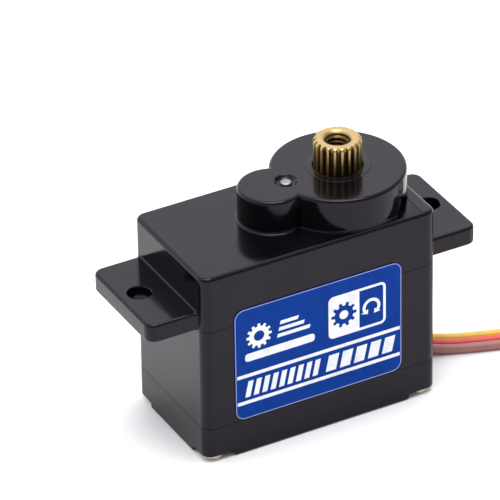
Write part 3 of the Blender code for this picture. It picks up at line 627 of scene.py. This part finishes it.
for _name, _k, _mat, _slot in (("signal", 1, M_YELLOW, "wire_yellow"), ("power", 0, M_RED, "wire_red"),
                               ("ground", -1, M_BROWN, "wire_brown")):
    wire("lead_wire_" + _name, _k, _mat)


# ---------------------------------------------------------------- case
def case_ring(z, inset):
    r = max(CORNER_R - inset, 0.12)
    return [(x, y, z) for x, y in rounded(-HL + inset, HL - inset, -HW + inset, HW - inset, r, 8)]


def chamber(z0, z1):
    return join(box((-HL + WALL, HL - WALL), (-POST_Y, POST_Y), (z0, z1)),
                box((-POST_X, POST_X), (-HW + WALL, HW - WALL), (z0 - 0.001, z1 + 0.001)))


def screw_holes(z0, z1, r):
    return [cyl(sx * SCREW_X, sy * SCREW_Y, z0, z1, r, seg=24) for sx in (-1, 1) for sy in (-1, 1)]


SEAM_EDGE = 0.03                     # tiny round at the parting lines
LINE = 0.016                         # what stays open between two mouldings


def dome_ring(z, inset, lobe_inset=None):
    """Figure-eight outline of the dome, inset (or flared, below zero)."""
    r1 = DOME_R - inset
    r2 = LOBE_R - (inset if lobe_inset is None else lobe_inset)
    d = AX_OUT - LOBE_X
    a = (d * d + r1 * r1 - r2 * r2) / (2 * d)
    t1 = math.pi - math.acos(a / r1)
    t2 = math.acos((d - a) / r2)
    pts = arc(AX_OUT, 0, r1, -t1, t1, 96) + arc(LOBE_X, 0, r2, t2, TAU - t2, 56)[1:-1]
    return [(min(x, HL - 0.01), max(-HW + 0.01, min(HW - 0.01, y)), z) for x, y in pts]


def ear_ring(z, inset, side):
    e = EAR_CORNER_R - inset
    tip, th, rh = EAR_TIP_X - inset, EAR_TIP_HW - inset, EAR_ROOT_HW - inset
    f = 0.32                         # upright fillet at the root
    root = arc(HL + f, -rh - f, f, math.pi, math.pi / 2, 5)
    pts = [(HL - 0.8, -rh - f)] + root
    pts += arc(tip - e, -th + e, e, -math.pi / 2, 0, 10) + arc(tip - e, th - e, e, 0, math.pi / 2, 10)
    pts += [(x, -y) for x, y in reversed(root)] + [(HL - 0.8, rh + f)]
    return [(side * x, side * y, z) for x, y in pts]


def ear_fillet(side, r=0.15, n=5):
    """Small concave round where the top of an ear meets the end wall."""
    prof = [(-0.4, -0.05), (r + 0.02, -0.05)]
    prof += [(r - r * math.sin(math.pi / 2 * i / n), r - r * math.cos(math.pi / 2 * i / n)) for i in range(n + 1)]
    prof += [(-0.05, r + 0.002), (-0.4, r + 0.002)]
    y = EAR_ROOT_HW - 0.12
    return loft([[(side * (HL + a), yy, Z_EAR_TOP + b) for a, b in prof] for yy in (-y, y)])


def upper_case():
    z0 = Z_SEAM_2 + LINE / 2
    up = loft([case_ring(z0, SEAM_EDGE), case_ring(z0 + SEAM_EDGE * 0.4, SEAM_EDGE * 0.3), case_ring(z0 + SEAM_EDGE, 0)]
              + [case_ring(Z_CASE_TOP - TOP_R, 0)]
              + [case_ring(Z_CASE_TOP - TOP_R + dz, dr) for dr, dz in quarter(TOP_R, 6)])
    er, et, ze = 0.16, 0.26, z0 + 0.02
    for side in (1, -1):
        rings = [ear_ring(ze + er - dz, dr, side) for dr, dz in reversed(quarter(er, 4))]
        rings += [ear_ring(ze + er, 0, side), ear_ring(Z_EAR_TOP - et, 0, side)]
        rings += [ear_ring(Z_EAR_TOP - et + dz, dr, side) for dr, dz in quarter(et, 6)]
        up = join(up, loft(rings), ear_fillet(side))
    # dome: straight foot, small concave flare, wall, round rim
    fl, fd, top = 0.30, 0.10, 0.30
    rings = [dome_ring(Z_CASE_TOP - 0.8, 0), dome_ring(Z_CASE_TOP - 0.42, 0),
             dome_ring(Z_CASE_TOP - 0.02, -fd, -fl)]
    for i in range(1, 7):
        a = math.pi / 2 * i / 6
        rings.append(dome_ring(Z_CASE_TOP - 0.02 + fl * (1 - math.cos(a)), -fd * (1 - math.sin(a)),
                               -fl * (1 - math.sin(a))))
    rings.append(dome_ring(Z_DOME_TOP - top, 0))
    rings += [dome_ring(Z_DOME_TOP - top + dz, dr) for dr, dz in quarter(top, 6)]
    up = join(up, loft(rings))
    # room for the gears
    up = cut(up, join(box((-HL + WALL, AX_OUT), (-POST_Y, POST_Y), (Z_SEAM_2 - 1, Z_CASE_TOP - ROOF)),
                      box((-POST_X, AX_OUT), (-HW + WALL, HW - WALL), (Z_SEAM_2 - 1.05, Z_CASE_TOP - ROOF)),
                      cyl(AX_OUT, 0, Z_SEAM_2 - 1.1, Z_DOME_IN, DOME_IN_R, seg=64),
                      cyl(LOBE_X, 0, Z_SEAM_2 - 1.2, Z_DOME_IN, LOBE_IN_R, seg=40)))
    for s in (1, -1):
        up = join(up, box((AX_OUT + BUSH_R + 0.20, AX_OUT + DOME_IN_R + 0.25), (-0.35, 0.35),
                          (Z_DOME_IN - 2.1, Z_DOME_IN + 0.3), s * STOP_ANGLE, (AX_OUT, 0)))
    # latch pockets at the foot of the dome
    for s in (1, -1):
        y0, y1 = sorted((-s * 0.5, -s * (HW + 0.6)))
        outline = [(7.95, Z_CASE_TOP - 0.03), (10.0, Z_CASE_TOP - 0.03), (10.0, 18.65), (9.30, 19.10), (8.10, 19.96),
                   (7.95, 19.90)]
        tool = cut(prism([outline], y0, y1, upright=True), cyl(AX_OUT, 0, 17, 21, DOME_R - 0.36, seg=128))
        up = cut(up, tool)
    # bore for the bush, and a dish and hole for the gear pin
    up = cut(up, lathe([(0, Z_DOME_IN - 0.5), (BUSH_R + 0.03, Z_DOME_IN - 0.5), (BUSH_R + 0.03, Z_DOME_TOP + 1), (0, Z_DOME_TOP + 1)],
                       AX_OUT, 0, 96))
    dish = [(0, Z_DOME_IN - 0.5), (PIN_R + 0.04, Z_DOME_IN - 0.5), (PIN_R + 0.04, Z_DOME_TOP - 0.30)]
    dish += [(0.60, Z_DOME_TOP - 0.30), (0.70, Z_DOME_TOP - 0.28), (0.80, Z_DOME_TOP - 0.22),
             (0.90, Z_DOME_TOP - 0.12), (0.97, Z_DOME_TOP - 0.04), (1.07, Z_DOME_TOP + 0.03),
             (1.07, Z_DOME_TOP + 1), (0, Z_DOME_TOP + 1)]
    up = cut(up, lathe(dish, AX_PIN, 0, 48))
    for s in (1, -1):
        h = 0.13
        hole = [(0, Z_SEAM_2 - 1), (EAR_HOLE_R + h, Z_SEAM_2 - 1), (EAR_HOLE_R + h, ze - 0.04),
                (EAR_HOLE_R, ze + h - 0.04), (EAR_HOLE_R, Z_EAR_TOP - h), (EAR_HOLE_R + 0.04, Z_EAR_TOP - 0.04),
                (EAR_HOLE_R + h, Z_EAR_TOP + 0.04), (EAR_HOLE_R + h, Z_EAR_TOP + 1), (0, Z_EAR_TOP + 1)]
        up = cut(up, lathe(hole, s * EAR_HOLE_X, 0, 56))
    return cut(up, *screw_holes(Z_SEAM_2 - 1, 16.2, SCREW_R + 0.04))


def middle_case():
    z0, z1 = Z_SEAM_1 + LINE / 2, Z_SEAM_2 - LINE / 2
    e = SEAM_EDGE
    mid = loft([case_ring(z0, e), case_ring(z0 + e * 0.4, e * 0.3), case_ring(z0 + e, 0), case_ring(z1 - e, 0),
                case_ring(z1 - e * 0.4, e * 0.3), case_ring(z1, e)])
    return cut(mid, chamber(Z_SEAM_1 - 1, Z_SEAM_2 - DECK),
               cyl(-4.78, 0, Z_SEAM_2 - 2, Z_SEAM_2 + 1, 1.40), cyl(AX_OUT, 0, Z_SEAM_2 - 2, Z_SEAM_2 + 1, 0.95),
               cyl(AX_PIN, 0, Z_SEAM_2 - 0.65, Z_SEAM_2 + 1, PIN_R + 0.03),
               *screw_holes(Z_SEAM_1 - 1, Z_SEAM_2 + 1, SCREW_R + 0.07))


def bottom_cover():
    z1, e, f = Z_SEAM_1 - LINE / 2, SEAM_EDGE, 0.18
    rings = [case_ring(f - dz, dr) for dr, dz in reversed(quarter(f, 4))]
    rings += [case_ring(f, 0), case_ring(z1 - e, 0), case_ring(z1 - e * 0.4, e * 0.3), case_ring(z1, e)]
    low = cut(loft(rings), chamber(0.80, Z_SEAM_1 + 1))
    # corner notches for the screw heads, widening towards the underside
    for sx in (1, -1):
        for sy in (1, -1):
            steps = []
            for z, grow in ((-0.5, 0.20), (0.0, 0.20), (0.06, 0.08), (0.14, 0.02), (0.20, 0.0), (0.37, 0.0),
                            (0.44, -0.02), (0.51, -0.07), (0.55, -0.13), (Z_NOTCH, -0.22)):
                x0, x1 = sorted((sx * (HL - NOTCH_X - grow), sx * (HL + 2)))
                y0, y1 = sorted((sy * (HW - NOTCH_Y - grow), sy * (HW + 2)))
                steps.append([(x, y, z) for x, y in rounded(x0, x1, y0, y1, 0.8, 8)])
            low = cut(low, loft(steps))
    exit_slot = box((HL - WALL - 0.5, HL + 1), (-1.62, 1.62), (LEAD_Z - 0.60, LEAD_Z + 0.60))
    return cut(low, exit_slot, *screw_holes(-1, Z_SEAM_1 + 1, SCREW_R + 0.07))


for _make, _name in ((upper_case, "upper_case"), (middle_case, "middle_case"), (bottom_cover, "bottom_cover")):
    _ob = piece(_make(), _name + "_moulding", "case", M_CASE)
    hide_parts(_name)


# ---------------------------------------------------------------- case screws
def case_screw(x, y):
    top = Z_NOTCH - 0.04
    prof = [(0, 0.03), (0.60, 0.02), (0.90, 0.04), (0.97, 0.08), (SCREW_HEAD_R, 0.15), (SCREW_HEAD_R, top - 0.03),
            (SCREW_HEAD_R - 0.03, top), (SCREW_R, top)]
    z = top + 0.1
    prof.append((SCREW_R, z))
    z = 10.6
    while z < 15.3:                  # coarse plastic-cutting thread
        prof += [(0.33, z), (0.33, z + 0.20), (SCREW_R, z + 0.27), (SCREW_R, z + 0.33)]
        z += 0.40
    prof += [(0.33, 15.6), (0.30, 15.9), (0.16, 16.1), (0, 16.12)]
    s = lathe(prof, x, y, 40)
    wide, deep = 0.12, 0.30
    for turn in (math.radians(45), math.radians(135)):
        wedge = loft([[(x - 0.58, y - wide, -0.3), (x + 0.58, y - wide, -0.3), (x + 0.58, y + wide, -0.3),
                       (x - 0.58, y + wide, -0.3)],
                      [(x - 0.26, y - wide * 0.7, deep), (x + 0.26, y - wide * 0.7, deep),
                       (x + 0.26, y + wide * 0.7, deep), (x - 0.26, y + wide * 0.7, deep)]])
        o = Vector((x, y, 0)) * MM
        wedge.data.transform(Matrix.Translation(o) @ Matrix.Rotation(turn, 4, "Z") @ Matrix.Translation(-o))
        s = cut(s, wedge)
    return s


for _i, (_sx, _sy) in enumerate(((-1, -1), (1, -1), (1, 1), (-1, 1)), 1):
    _ob = piece(case_screw(_sx * SCREW_X, _sy * SCREW_Y), f"phillips_screw_{_i}", "case", M_SCREW)
    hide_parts(f"case_screw_{_i}")


# ---------------------------------------------------------------- label
def grow(x0, x1, z0, z1, r, d, n=10):
    return rounded(x0 - d, x1 + d, z0 - d, z1 + d, max(r + d, 0.02), n)


film_in, film_out = -(HW + 0.02), LABEL_Y
_rings = []
for _y, _d in ((film_in, 0.0), (film_out + 0.02, 0.0), (film_out + 0.006, -0.006), (film_out, -0.02)):
    _rings.append([(x, _y, z) for x, z in grow(*LABEL_X, *LABEL_Z, 0.9, _d)])
_ob = piece(loft(_rings), "label_sheet", "case", M_FILM)
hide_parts("label")

PRINT_T = 0.012


ART_Z = 0.20


def art(x):
    """Across the label: the artwork was laid out on a width of 15.98."""
    return LABEL_X[0] + (x + 8.05) / 15.98 * (LABEL_X[1] - LABEL_X[0])


def printed(loops, name, mat, lift=0.0, fit=True):
    if fit:
        loops = [[(art(x), z + ART_Z) for x, z in loop] for loop in loops]
    ob = prism(loops, film_out - PRINT_T - lift, film_out + 0.004, upright=True)
    return piece(ob, name, "case", mat, weighted=False)


printed([grow(*LABEL_X, *LABEL_Z, 0.9, -0.02), grow(*LABEL_X, *LABEL_Z, 0.9, -0.085)], "label_border", M_EDGE, fit=False)


def slab(x0, x1, z0, z1, slant=0.0, r=0.0):
    """Parallelogram leaning to the right by slant, over its height."""
    return [(x0, z0), (x1, z0), (x1 + slant, z1), (x0 + slant, z1)]


def strip(z):
    return [(LABEL_X[0] + 0.17, z - 0.165), (LABEL_X[1] - 0.17, z - 0.165), (LABEL_X[1] - 0.17, z + 0.165),
            (LABEL_X[0] + 0.17, z + 0.165)]


printed([strip(7.76)], "label_line_upper", M_PRINT, fit=False)
printed([strip(5.11)], "label_line_lower", M_PRINT, fit=False)


# a plain row of slanted bars between the lines
def bars(x0, x1, z0, z1, count, share, name):
    pitch = (x1 - x0) / count
    lean = (z1 - z0) * 0.22
    for i in range(count):
        a = x0 + pitch * i + pitch * (1 - share) / 2 - lean / 2
        printed([slab(a, a + pitch * share, z0, z1, lean)], f"{name}_{i + 1}", M_PRINT)


bars(-7.15, 0.10, 5.42, 6.96, 9, 0.60, "label_bar_fine")
bars(0.55, 7.35, 5.42, 6.96, 5, 0.72, "label_bar_bold")


def cog(cx, cz, r, teeth, depth, turn=0.0):
    out = []
    for k in range(teeth):
        for share, rr in ((-0.29, r - depth), (-0.19, r), (0.19, r), (0.29, r - depth)):
            a = turn + TAU * (k + share) / teeth
            out.append((cx + rr * math.cos(a), cz + rr * math.sin(a)))
    return out


# divided box: a cog on the filled half, a turning arrow in the outlined half
BOX = (0.88, 6.40, 8.55, 12.70)
BOX_MID = 3.85
_left = [(x, z) for x, z in rounded(BOX[0], BOX[1], BOX[2], BOX[3], 0.5, 8) if x < BOX_MID]
_left = sorted((p for p in _left), key=lambda p: math.atan2(p[1] - 10.6, p[0] - 2.4))
_half = [(BOX_MID, BOX[2]), (BOX_MID, BOX[3])] + arc(BOX[0] + 0.5, BOX[3] - 0.5, 0.5, math.pi / 2, math.pi, 8) \
    + arc(BOX[0] + 0.5, BOX[2] + 0.5, 0.5, math.pi, 3 * math.pi / 2, 8)
printed([_half, cog(2.36, 10.62, 1.22, 10, 0.30), circle(2.36, 10.62, 0.42, 24)], "label_box_filled", M_PRINT)
_w = 0.24
_outer = [(BOX_MID + 0.01, BOX[2])] + arc(BOX[1] - 0.5, BOX[2] + 0.5, 0.5, -math.pi / 2, 0, 8) \
    + arc(BOX[1] - 0.5, BOX[3] - 0.5, 0.5, 0, math.pi / 2, 8) + [(BOX_MID + 0.01, BOX[3])]
_inner = [(BOX_MID + 0.01, BOX[2] + _w)] + arc(BOX[1] - 0.5, BOX[2] + 0.5, 0.5 - _w, -math.pi / 2, 0, 8) \
    + arc(BOX[1] - 0.5, BOX[3] - 0.5, 0.5 - _w, 0, math.pi / 2, 8) + [(BOX_MID + 0.01, BOX[3] - _w)]
printed([_outer + list(reversed(_inner))], "label_box_frame", M_PRINT)
_c = (5.02, 10.55)
_sweep = arc(*_c, 0.86, math.radians(-35), math.radians(205), 28) \
    + arc(*_c, 0.58, math.radians(205), math.radians(-35), 28)
printed([_sweep], "label_turn_arc", M_PRINT)
for _i, _a in enumerate((math.radians(-35), math.radians(205))):
    _t = -1 if _i == 0 else 1
    _tip = (_c[0] + 0.72 * math.cos(_a + _t * 0.62), _c[1] + 0.72 * math.sin(_a + _t * 0.62))
    _b1 = (_c[0] + 1.08 * math.cos(_a), _c[1] + 1.08 * math.sin(_a))
    _b2 = (_c[0] + 0.36 * math.cos(_a), _c[1] + 0.36 * math.sin(_a))
    printed([[_tip, _b1, _b2]], f"label_turn_tip_{_i + 1}", M_PRINT)

# left field: a cog and three slanted stripes over a plain bar
printed([rounded(-7.10, -0.46, 8.94, 9.72, 0.30, 8)], "label_bar_plain", M_PRINT)
printed([cog(-5.75, 11.20, 1.20, 12, 0.26), circle(-5.75, 11.20, 0.50, 28)], "label_cog_large", M_PRINT)
for _i in range(3):
    _z = 10.42 + 0.62 * _i
    printed([slab(-4.05 + 0.14 * _i, -0.95 - 0.55 * _i, _z, _z + 0.34, 0.10)], f"label_stripe_{_i + 1}", M_PRINT)


# ---------------------------------------------------------------- output shaft
def involute(base, r):
    if r <= base:
        return 0.0
    t = math.sqrt((r / base) ** 2 - 1)
    return t - math.atan(t)


def gear_outline(cx, cy, teeth, tooth_at, addendum=0.8, dedendum=1.15):
    rp = MODULE * teeth / 2
    rb = rp * math.cos(math.radians(20))
    ra, rf = rp + addendum * MODULE, rp - dedendum * MODULE
    half = (math.pi * MODULE / 2 - BACKLASH) / 2 / rp + involute(rb, rp)
    lo = max(rb, rf)
    radii = [lo + (ra - lo) * i / 4 for i in range(5)]
    out = []
    for k in range(teeth):
        a = tooth_at + TAU * k / teeth
        left = [(r, half - involute(rb, r)) for r in radii]
        if rb > rf + 0.02:
            left.insert(0, (rf, half * 0.90))
        out += [(cx + r * math.cos(a - h), cy + r * math.sin(a - h)) for r, h in left]
        out += [(cx + r * math.cos(a + h), cy + r * math.sin(a + h)) for r, h in reversed(left)]
    return out


def output_wheel():
    """The wheel, collar, stop lug and journal, up to just inside the bush."""
    w = prism([gear_outline(AX_OUT, 0, T_WHEEL, math.pi - math.pi / T_WHEEL)], 16.42, 17.90)
    w = join(w, cyl(AX_OUT, 0, 16.82, Z_DOME_IN - 0.22, 2.60, seg=56),
             box((AX_OUT + 2.2, AX_OUT + 4.25), (-0.5, 0.5), (17.60, 18.95)),
             cyl(AX_OUT, 0, 19.8, 20.80, JOURNAL_R, seg=64))
    flat = [(max(x, AX_OUT - 0.34), y) for x, y in circle(AX_OUT, 0, POT_SHAFT_R + 0.03, 36)]
    return cut(w, prism([flat], 15.0, 17.75))


def output_spline():
    """Journal, spline with rounded top, countersink and tapped hole."""
    per = 12
    count = SPLINE_TEETH * per
    z_run = Z_DOME_TOP - 0.06        # the teeth start level with the bush
    depth = 0.36                     # height of the rounded top

    def tooth(share):
        """Radius of the tooth outline at a share of one pitch, 0 on a tooth."""
        d = abs((share + 0.5) % 1.0 - 0.5)
        t = min(1.0, max(0.0, (0.33 - d) / 0.19))
        t = t * t * (3 - 2 * t) * 0.5 + t * 0.5
        return SPLINE_ROOT_R + (SPLINE_R - SPLINE_ROOT_R) * t

    def ring(z, limit, plain=None):
        pts = []
        for i in range(count):
            a = TAU * i / count
            r = plain if plain is not None else min(limit, tooth(i / per))
            pts.append((AX_OUT + r * math.cos(a), r * math.sin(a), z))
        return pts

    rings = [ring(20.82, 9, JOURNAL_R), ring(z_run - 0.03, 9, JOURNAL_R), ring(z_run, 9, JOURNAL_R - 0.03),
             ring(z_run + 0.001, 9)]
    rings.append(ring(Z_SPLINE_TOP - depth, 9))
    for i in range(1, 9):            # elliptical shoulder, 0.30 in and 0.36 down
        a = math.pi / 2 * i / 8
        rings.append(ring(Z_SPLINE_TOP - depth + depth * math.sin(a), SPLINE_R - 0.30 * (1 - math.cos(a)) ** 0.9))
    rings.append(ring(Z_SPLINE_TOP, 9, 1.70))
    mouth, drill = HORN_MOUTH_R, 1.05
    rings += [ring(Z_SPLINE_TOP, 9, mouth + 0.03), ring(Z_SPLINE_TOP - 0.02, 9, mouth),
              ring(Z_SPLINE_TOP - 0.22, 9, drill + 0.03), ring(Z_SPLINE_TOP - 0.25, 9, drill)]
    pitch, crest, root = 0.42, 0.84, drill
    z, step = Z_SPLINE_TOP - 0.27, pitch / 12

    def thread(z, phase):
        u = ((Z_SPLINE_TOP - z) / pitch + phase) % 1.0
        t = 1 - abs(2 * u - 1)
        t = min(1.0, max(0.0, (t - 0.10) / 0.72))
        fade = min(1.0, max(0.0, (Z_SPLINE_TOP - 0.26 - z) / 0.20))
        return root - (root - crest) * t * fade

    while z > 21.6:
        rings.append([(AX_OUT + thread(z, i / count) * math.cos(TAU * i / count),
                       thread(z, i / count) * math.sin(TAU * i / count), z) for i in range(count)])
        z -= step
    rings.append(ring(21.5, 9, 0.82))
    return loft(rings)


_ob = piece(output_wheel(), "output_wheel", "output", M_BRASS)
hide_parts("output_gear")
piece(output_spline(), "output_spline", "output", M_SPLINE, smooth=40)

_b = [(BUSH_IN_R, Z_DOME_IN), (BUSH_R, Z_DOME_IN), (BUSH_R + 0.02, Z_DOME_IN + 0.1),
      (BUSH_R + 0.02, Z_DOME_TOP - 0.03)]
_b += [(BUSH_R + 0.02 - dr, Z_DOME_TOP - 0.03 + dz) for dr, dz in quarter(0.05, 4)]
_b += [(BUSH_IN_R + 0.11, Z_DOME_TOP + 0.02), (BUSH_IN_R + 0.09, Z_DOME_TOP + 0.06), (BUSH_IN_R + 0.05, Z_DOME_TOP + 0.06),
       (BUSH_IN_R + 0.01, Z_DOME_TOP + 0.02), (BUSH_IN_R, Z_DOME_TOP - 0.08)]
_ob = piece(lathe(_b, AX_OUT, 0, 96, closed=True), "bush_ring", "case", M_BUSH)
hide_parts("output_bush")

_p = [(0, Z_SEAM_2 - 0.60), (PIN_R, Z_SEAM_2 - 0.60), (PIN_R, Z_DOME_TOP - 0.18), (PIN_R - 0.02, Z_DOME_TOP - 0.13),
      (PIN_R - 0.07, Z_DOME_TOP - 0.09), (PIN_R - 0.16, Z_DOME_TOP - 0.065), (0.18, Z_DOME_TOP - 0.05), (0, Z_DOME_TOP - 0.05)]
_ob = piece(lathe(_p, AX_PIN, 0, 48), "pin_ground", "case", M_PIN)
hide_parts("gear_pin")


# ---------------------------------------------------------------- lead fittings
def grommet():
    """Strain relief: flange inside the wall and block through it."""
    g = join(box((HL - WALL - 0.52, LEAD_EXIT_X - 0.12), (-1.58, 1.58), (LEAD_Z - 0.56, LEAD_Z + 0.56)),
             box((HL - WALL - 0.52, HL - WALL - 0.04), (-2.3, 2.3), (0.84, LEAD_Z + 0.72)))
    return soften(g, 0.10, 2)


_ob = piece(grommet(), "strain_relief", "case", M_RUBBER)
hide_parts("lead_grommet")

HANK_OUT = HANK_R + WIRE_PITCH + WIRE_D / 2 + 0.04
HANK_TOP = OUT_Z + WIRE_D / 2 + 0.32
TIE_X = sum(HANK_X) / 2


def tie_loop(y, z0, z1, r):
    return rounded(-y, y, z0, z1, r, 8)


def zip_tie():
    out = prism([tie_loop(HANK_OUT + 0.40, 0.04, HANK_TOP + 0.38, 0.55),
                 tie_loop(HANK_OUT + 0.08, 0.36, HANK_TOP + 0.07, 0.28)], -0.85, 0.85, upright=True)
    out.data.transform(Matrix.Translation((TIE_X * MM, 0, 0)) @ Matrix.Rotation(math.pi / 2, 4, "Z"))
    out = soften(out, 0.07, 2)
    y = -4.6                          # ladder of teeth along the strap's top
    while y < 1.2:
        out = cut(out, box((TIE_X - 0.5, TIE_X + 0.5), (y, y + 0.16), (HANK_TOP + 0.30, HANK_TOP + 1)))
        y += 0.36
    head = box((TIE_X - 1.28, TIE_X + 1.28), (1.42, 3.58), (HANK_TOP + 0.25, HANK_TOP + 1.43))
    head = soften(head, 0.18, 3)
    head = cut(head, box((TIE_X - 0.72, TIE_X + 0.72), (2.0, 2.7), (HANK_TOP + 0.95, HANK_TOP + 3)))
    return join(out, head)


_ob = piece(zip_tie(), "zip_tie", "case", M_TIE)
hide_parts("lead_tie")


def connector():
    """Three-way crimp housing: flared nose entries, latch windows, ribbed sides."""
    x0, x1 = CONN_X
    y0, y1 = CONN_Y - CONN_HW, CONN_Y + CONN_HW
    z0, z1 = CONN_Z - CONN_HH, CONN_Z + CONN_HH
    c = soften(box((x0, x1), (y0, y1), (z0, z1)), 0.22, 3)
    for k in (1, 0, -1):
        y = CONN_Y + k * PIN_PITCH
        c = cut(c, box((x0 - 1, x1 + 1), (y - 0.85, y + 0.85), (CONN_Z - 0.75, CONN_Z + 0.75)),
                loft([[(x, yy, CONN_Z + 0.6) for x, yy in rounded(x0 + 5.0, x0 + 7.2, y - 0.62, y + 0.62, 0.15, 4)],
                      [(x, yy, z1 + 0.2) for x, yy in rounded(x0 + 4.8, x0 + 7.3, y - 0.70, y + 0.70, 0.15, 4)]]))
        mouth = loft([[(x1 - 0.35, yy, z) for yy, z in rounded(y - 0.86, y + 0.86, CONN_Z - 0.76, CONN_Z + 0.76, 0.1, 3)],
                      [(x1 + 0.1, yy, z) for yy, z in rounded(y - 1.08, y + 1.08, CONN_Z - 0.98, CONN_Z + 0.98, 0.1, 3)]])
        c = cut(c, mouth)
    for i in range(6):                # finger grip across the two sides
        x = x0 + 1.1 + 0.62 * i
        for y in (y0, y1):
            c = cut(c, cyl(x, y, z0 + 0.35, z1 - 0.35, 0.15, seg=12))
    return c


_housing = piece(connector(), "crimp_housing", "case", M_CONN)
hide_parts("connector_housing")


def contact(y):
    """Folded tin-plated socket: square box and crimp barrel."""
    x0, x1 = CONN_X
    c = box((x0 + 6.0, x1 - 0.8), (y - 0.76, y + 0.76), (CONN_Z - 0.66, CONN_Z + 0.66))
    c = soften(c, 0.12, 3)
    c = cut(c, box((x0 + 6.5, x1 + 1), (y - 0.46, y + 0.46), (CONN_Z - 0.44, CONN_Z + 0.44)))
    barrel = lathe([(0, 0), (0.62, 0), (0.66, 0.1), (0.66, 1.5), (0.56, 1.9), (0.52, 3.6), (0.60, 4.4), (0.60, 4.95), (0, 4.95)],
                   0, 0, 28)
    barrel.data.transform(Matrix.Translation(Vector((x0 + 1.25, y, CONN_Z)) * MM) @ Matrix.Rotation(math.pi / 2, 4, "Y"))
    return join(c, barrel)


for _i, _k in enumerate((1, 0, -1), 1):
    _ob = piece(contact(CONN_Y + _k * PIN_PITCH), f"crimp_contact_{_i}", "case", M_TIN)
    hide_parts(f"connector_contact_{_i}")

for _i, (_name, _also) in enumerate((("signal", []), ("power", [_housing]), ("ground", []))):
    _nodes = [f"lead_{_name}", f"lead_{_name}_tail"] + (["lead_hank"] if _name == "power" else [])
    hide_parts(*_nodes)


# ---------------------------------------------------------------- inner parts
INNER = {
    M_BRASS: ("third_gear", "second_gear", "first_gear", "motor_pinion"),
    M_STEEL: ("motor_shaft", "motor_can", "pot_cover", "armature_core"),
    M_WHITE: ("motor_end_cap", "pot_shaft"),
    M_BRONZE: ("motor_bush",),
    M_FERRITE: ("motor_magnet_1", "motor_magnet_2"),
    M_COPPER: ("armature_winding_1", "armature_winding_2", "armature_winding_3", "commutator"),
    M_CARBON: ("motor_brush_1", "motor_brush_2", "pot_track"),
    M_TIN: ("motor_terminal_1", "motor_terminal_2", "pot_wiper", "pot_terminal_1", "pot_terminal_2",
            "pot_terminal_3"),
    M_INNER: ("pot_housing",),
    M_BOARD: ("circuit_board",),
    M_CHIP: ("microcontroller", "motor_driver", "voltage_regulator"),
    M_CERAMIC: ("supply_capacitor",),
}
for _mat, _names in INNER.items():
    for _name in _names:
        for _s in NODES[_name].material_slots:
            _s.material = _mat


# ---------------------------------------------------------------- stage
def stage():
    n = Nodes("floor")
    n.set(Base_Color=n.blend(n.span(n.noise(30, 2), 0.0, 1.0), (0.93, 0.93, 0.93), (0.95, 0.95, 0.95)),
          Roughness=0.9, Specular_IOR_Level=0.1)
    bm = bmesh.new()
    s = 0.6
    vs = [bm.verts.new((x * s, y * s, -2e-5)) for x, y in ((-1, -1), (1, -1), (1, 1), (-1, 1))]
    bm.faces.new(vs)
    me = bpy.data.meshes.new("floor")
    bm.to_mesh(me)
    bm.free()
    me.materials.append(n.mat)
    ob = bpy.data.objects.new("floor", me)
    bpy.context.scene.collection.objects.link(ob)


stage()


def light(name, where, size, power, aim=(0.0, 0.0, 0.010), colour=(1, 1, 1)):
    data = bpy.data.lights.new(name, "AREA")
    data.shape = "RECTANGLE"
    data.size, data.size_y = size
    data.energy = power
    data.color = colour
    ob = bpy.data.objects.new(name, data)
    d = Vector(aim) - Vector(where)
    ob.rotation_mode = "QUATERNION"
    ob.rotation_quaternion = d.to_track_quat("-Z", "Y")
    ob.location = where
    bpy.context.scene.collection.objects.link(ob)


world = bpy.context.scene.world or bpy.data.worlds.new("world")
bpy.context.scene.world = world
world.use_nodes = True
_t = world.node_tree
_t.nodes.clear()
_where = _t.nodes.new("ShaderNodeTexCoord")
_dot = _t.nodes.new("ShaderNodeVectorMath")
_dot.operation = "DOT_PRODUCT"
_dot.inputs[1].default_value = Vector((-0.10, 0.80, 0.60)).normalized()
_t.links.new(_where.outputs["Generated"], _dot.inputs[0])
_map = _t.nodes.new("ShaderNodeMapRange")
_map.interpolation_type = "SMOOTHSTEP"
for _k, _v in (("From Min", -0.3), ("From Max", 0.95), ("To Min", 0.45), ("To Max", 1.75)):
    _map.inputs[_k].default_value = _v
_t.links.new(_dot.outputs["Value"], _map.inputs["Value"])
_bg = _t.nodes.new("ShaderNodeBackground")
_bg.inputs["Color"].default_value = (0.97, 0.965, 1.0, 1.0)
_t.links.new(_map.outputs["Result"], _bg.inputs["Strength"])
_out = _t.nodes.new("ShaderNodeOutputWorld")
_t.links.new(_bg.outputs[0], _out.inputs[0])

light("key_overhead", (0.0, -0.06, 0.46), (0.30, 0.30), 1.5)

bpy.context.scene.view_settings.view_transform = "Standard"
bpy.context.scene.view_settings.look = "None"
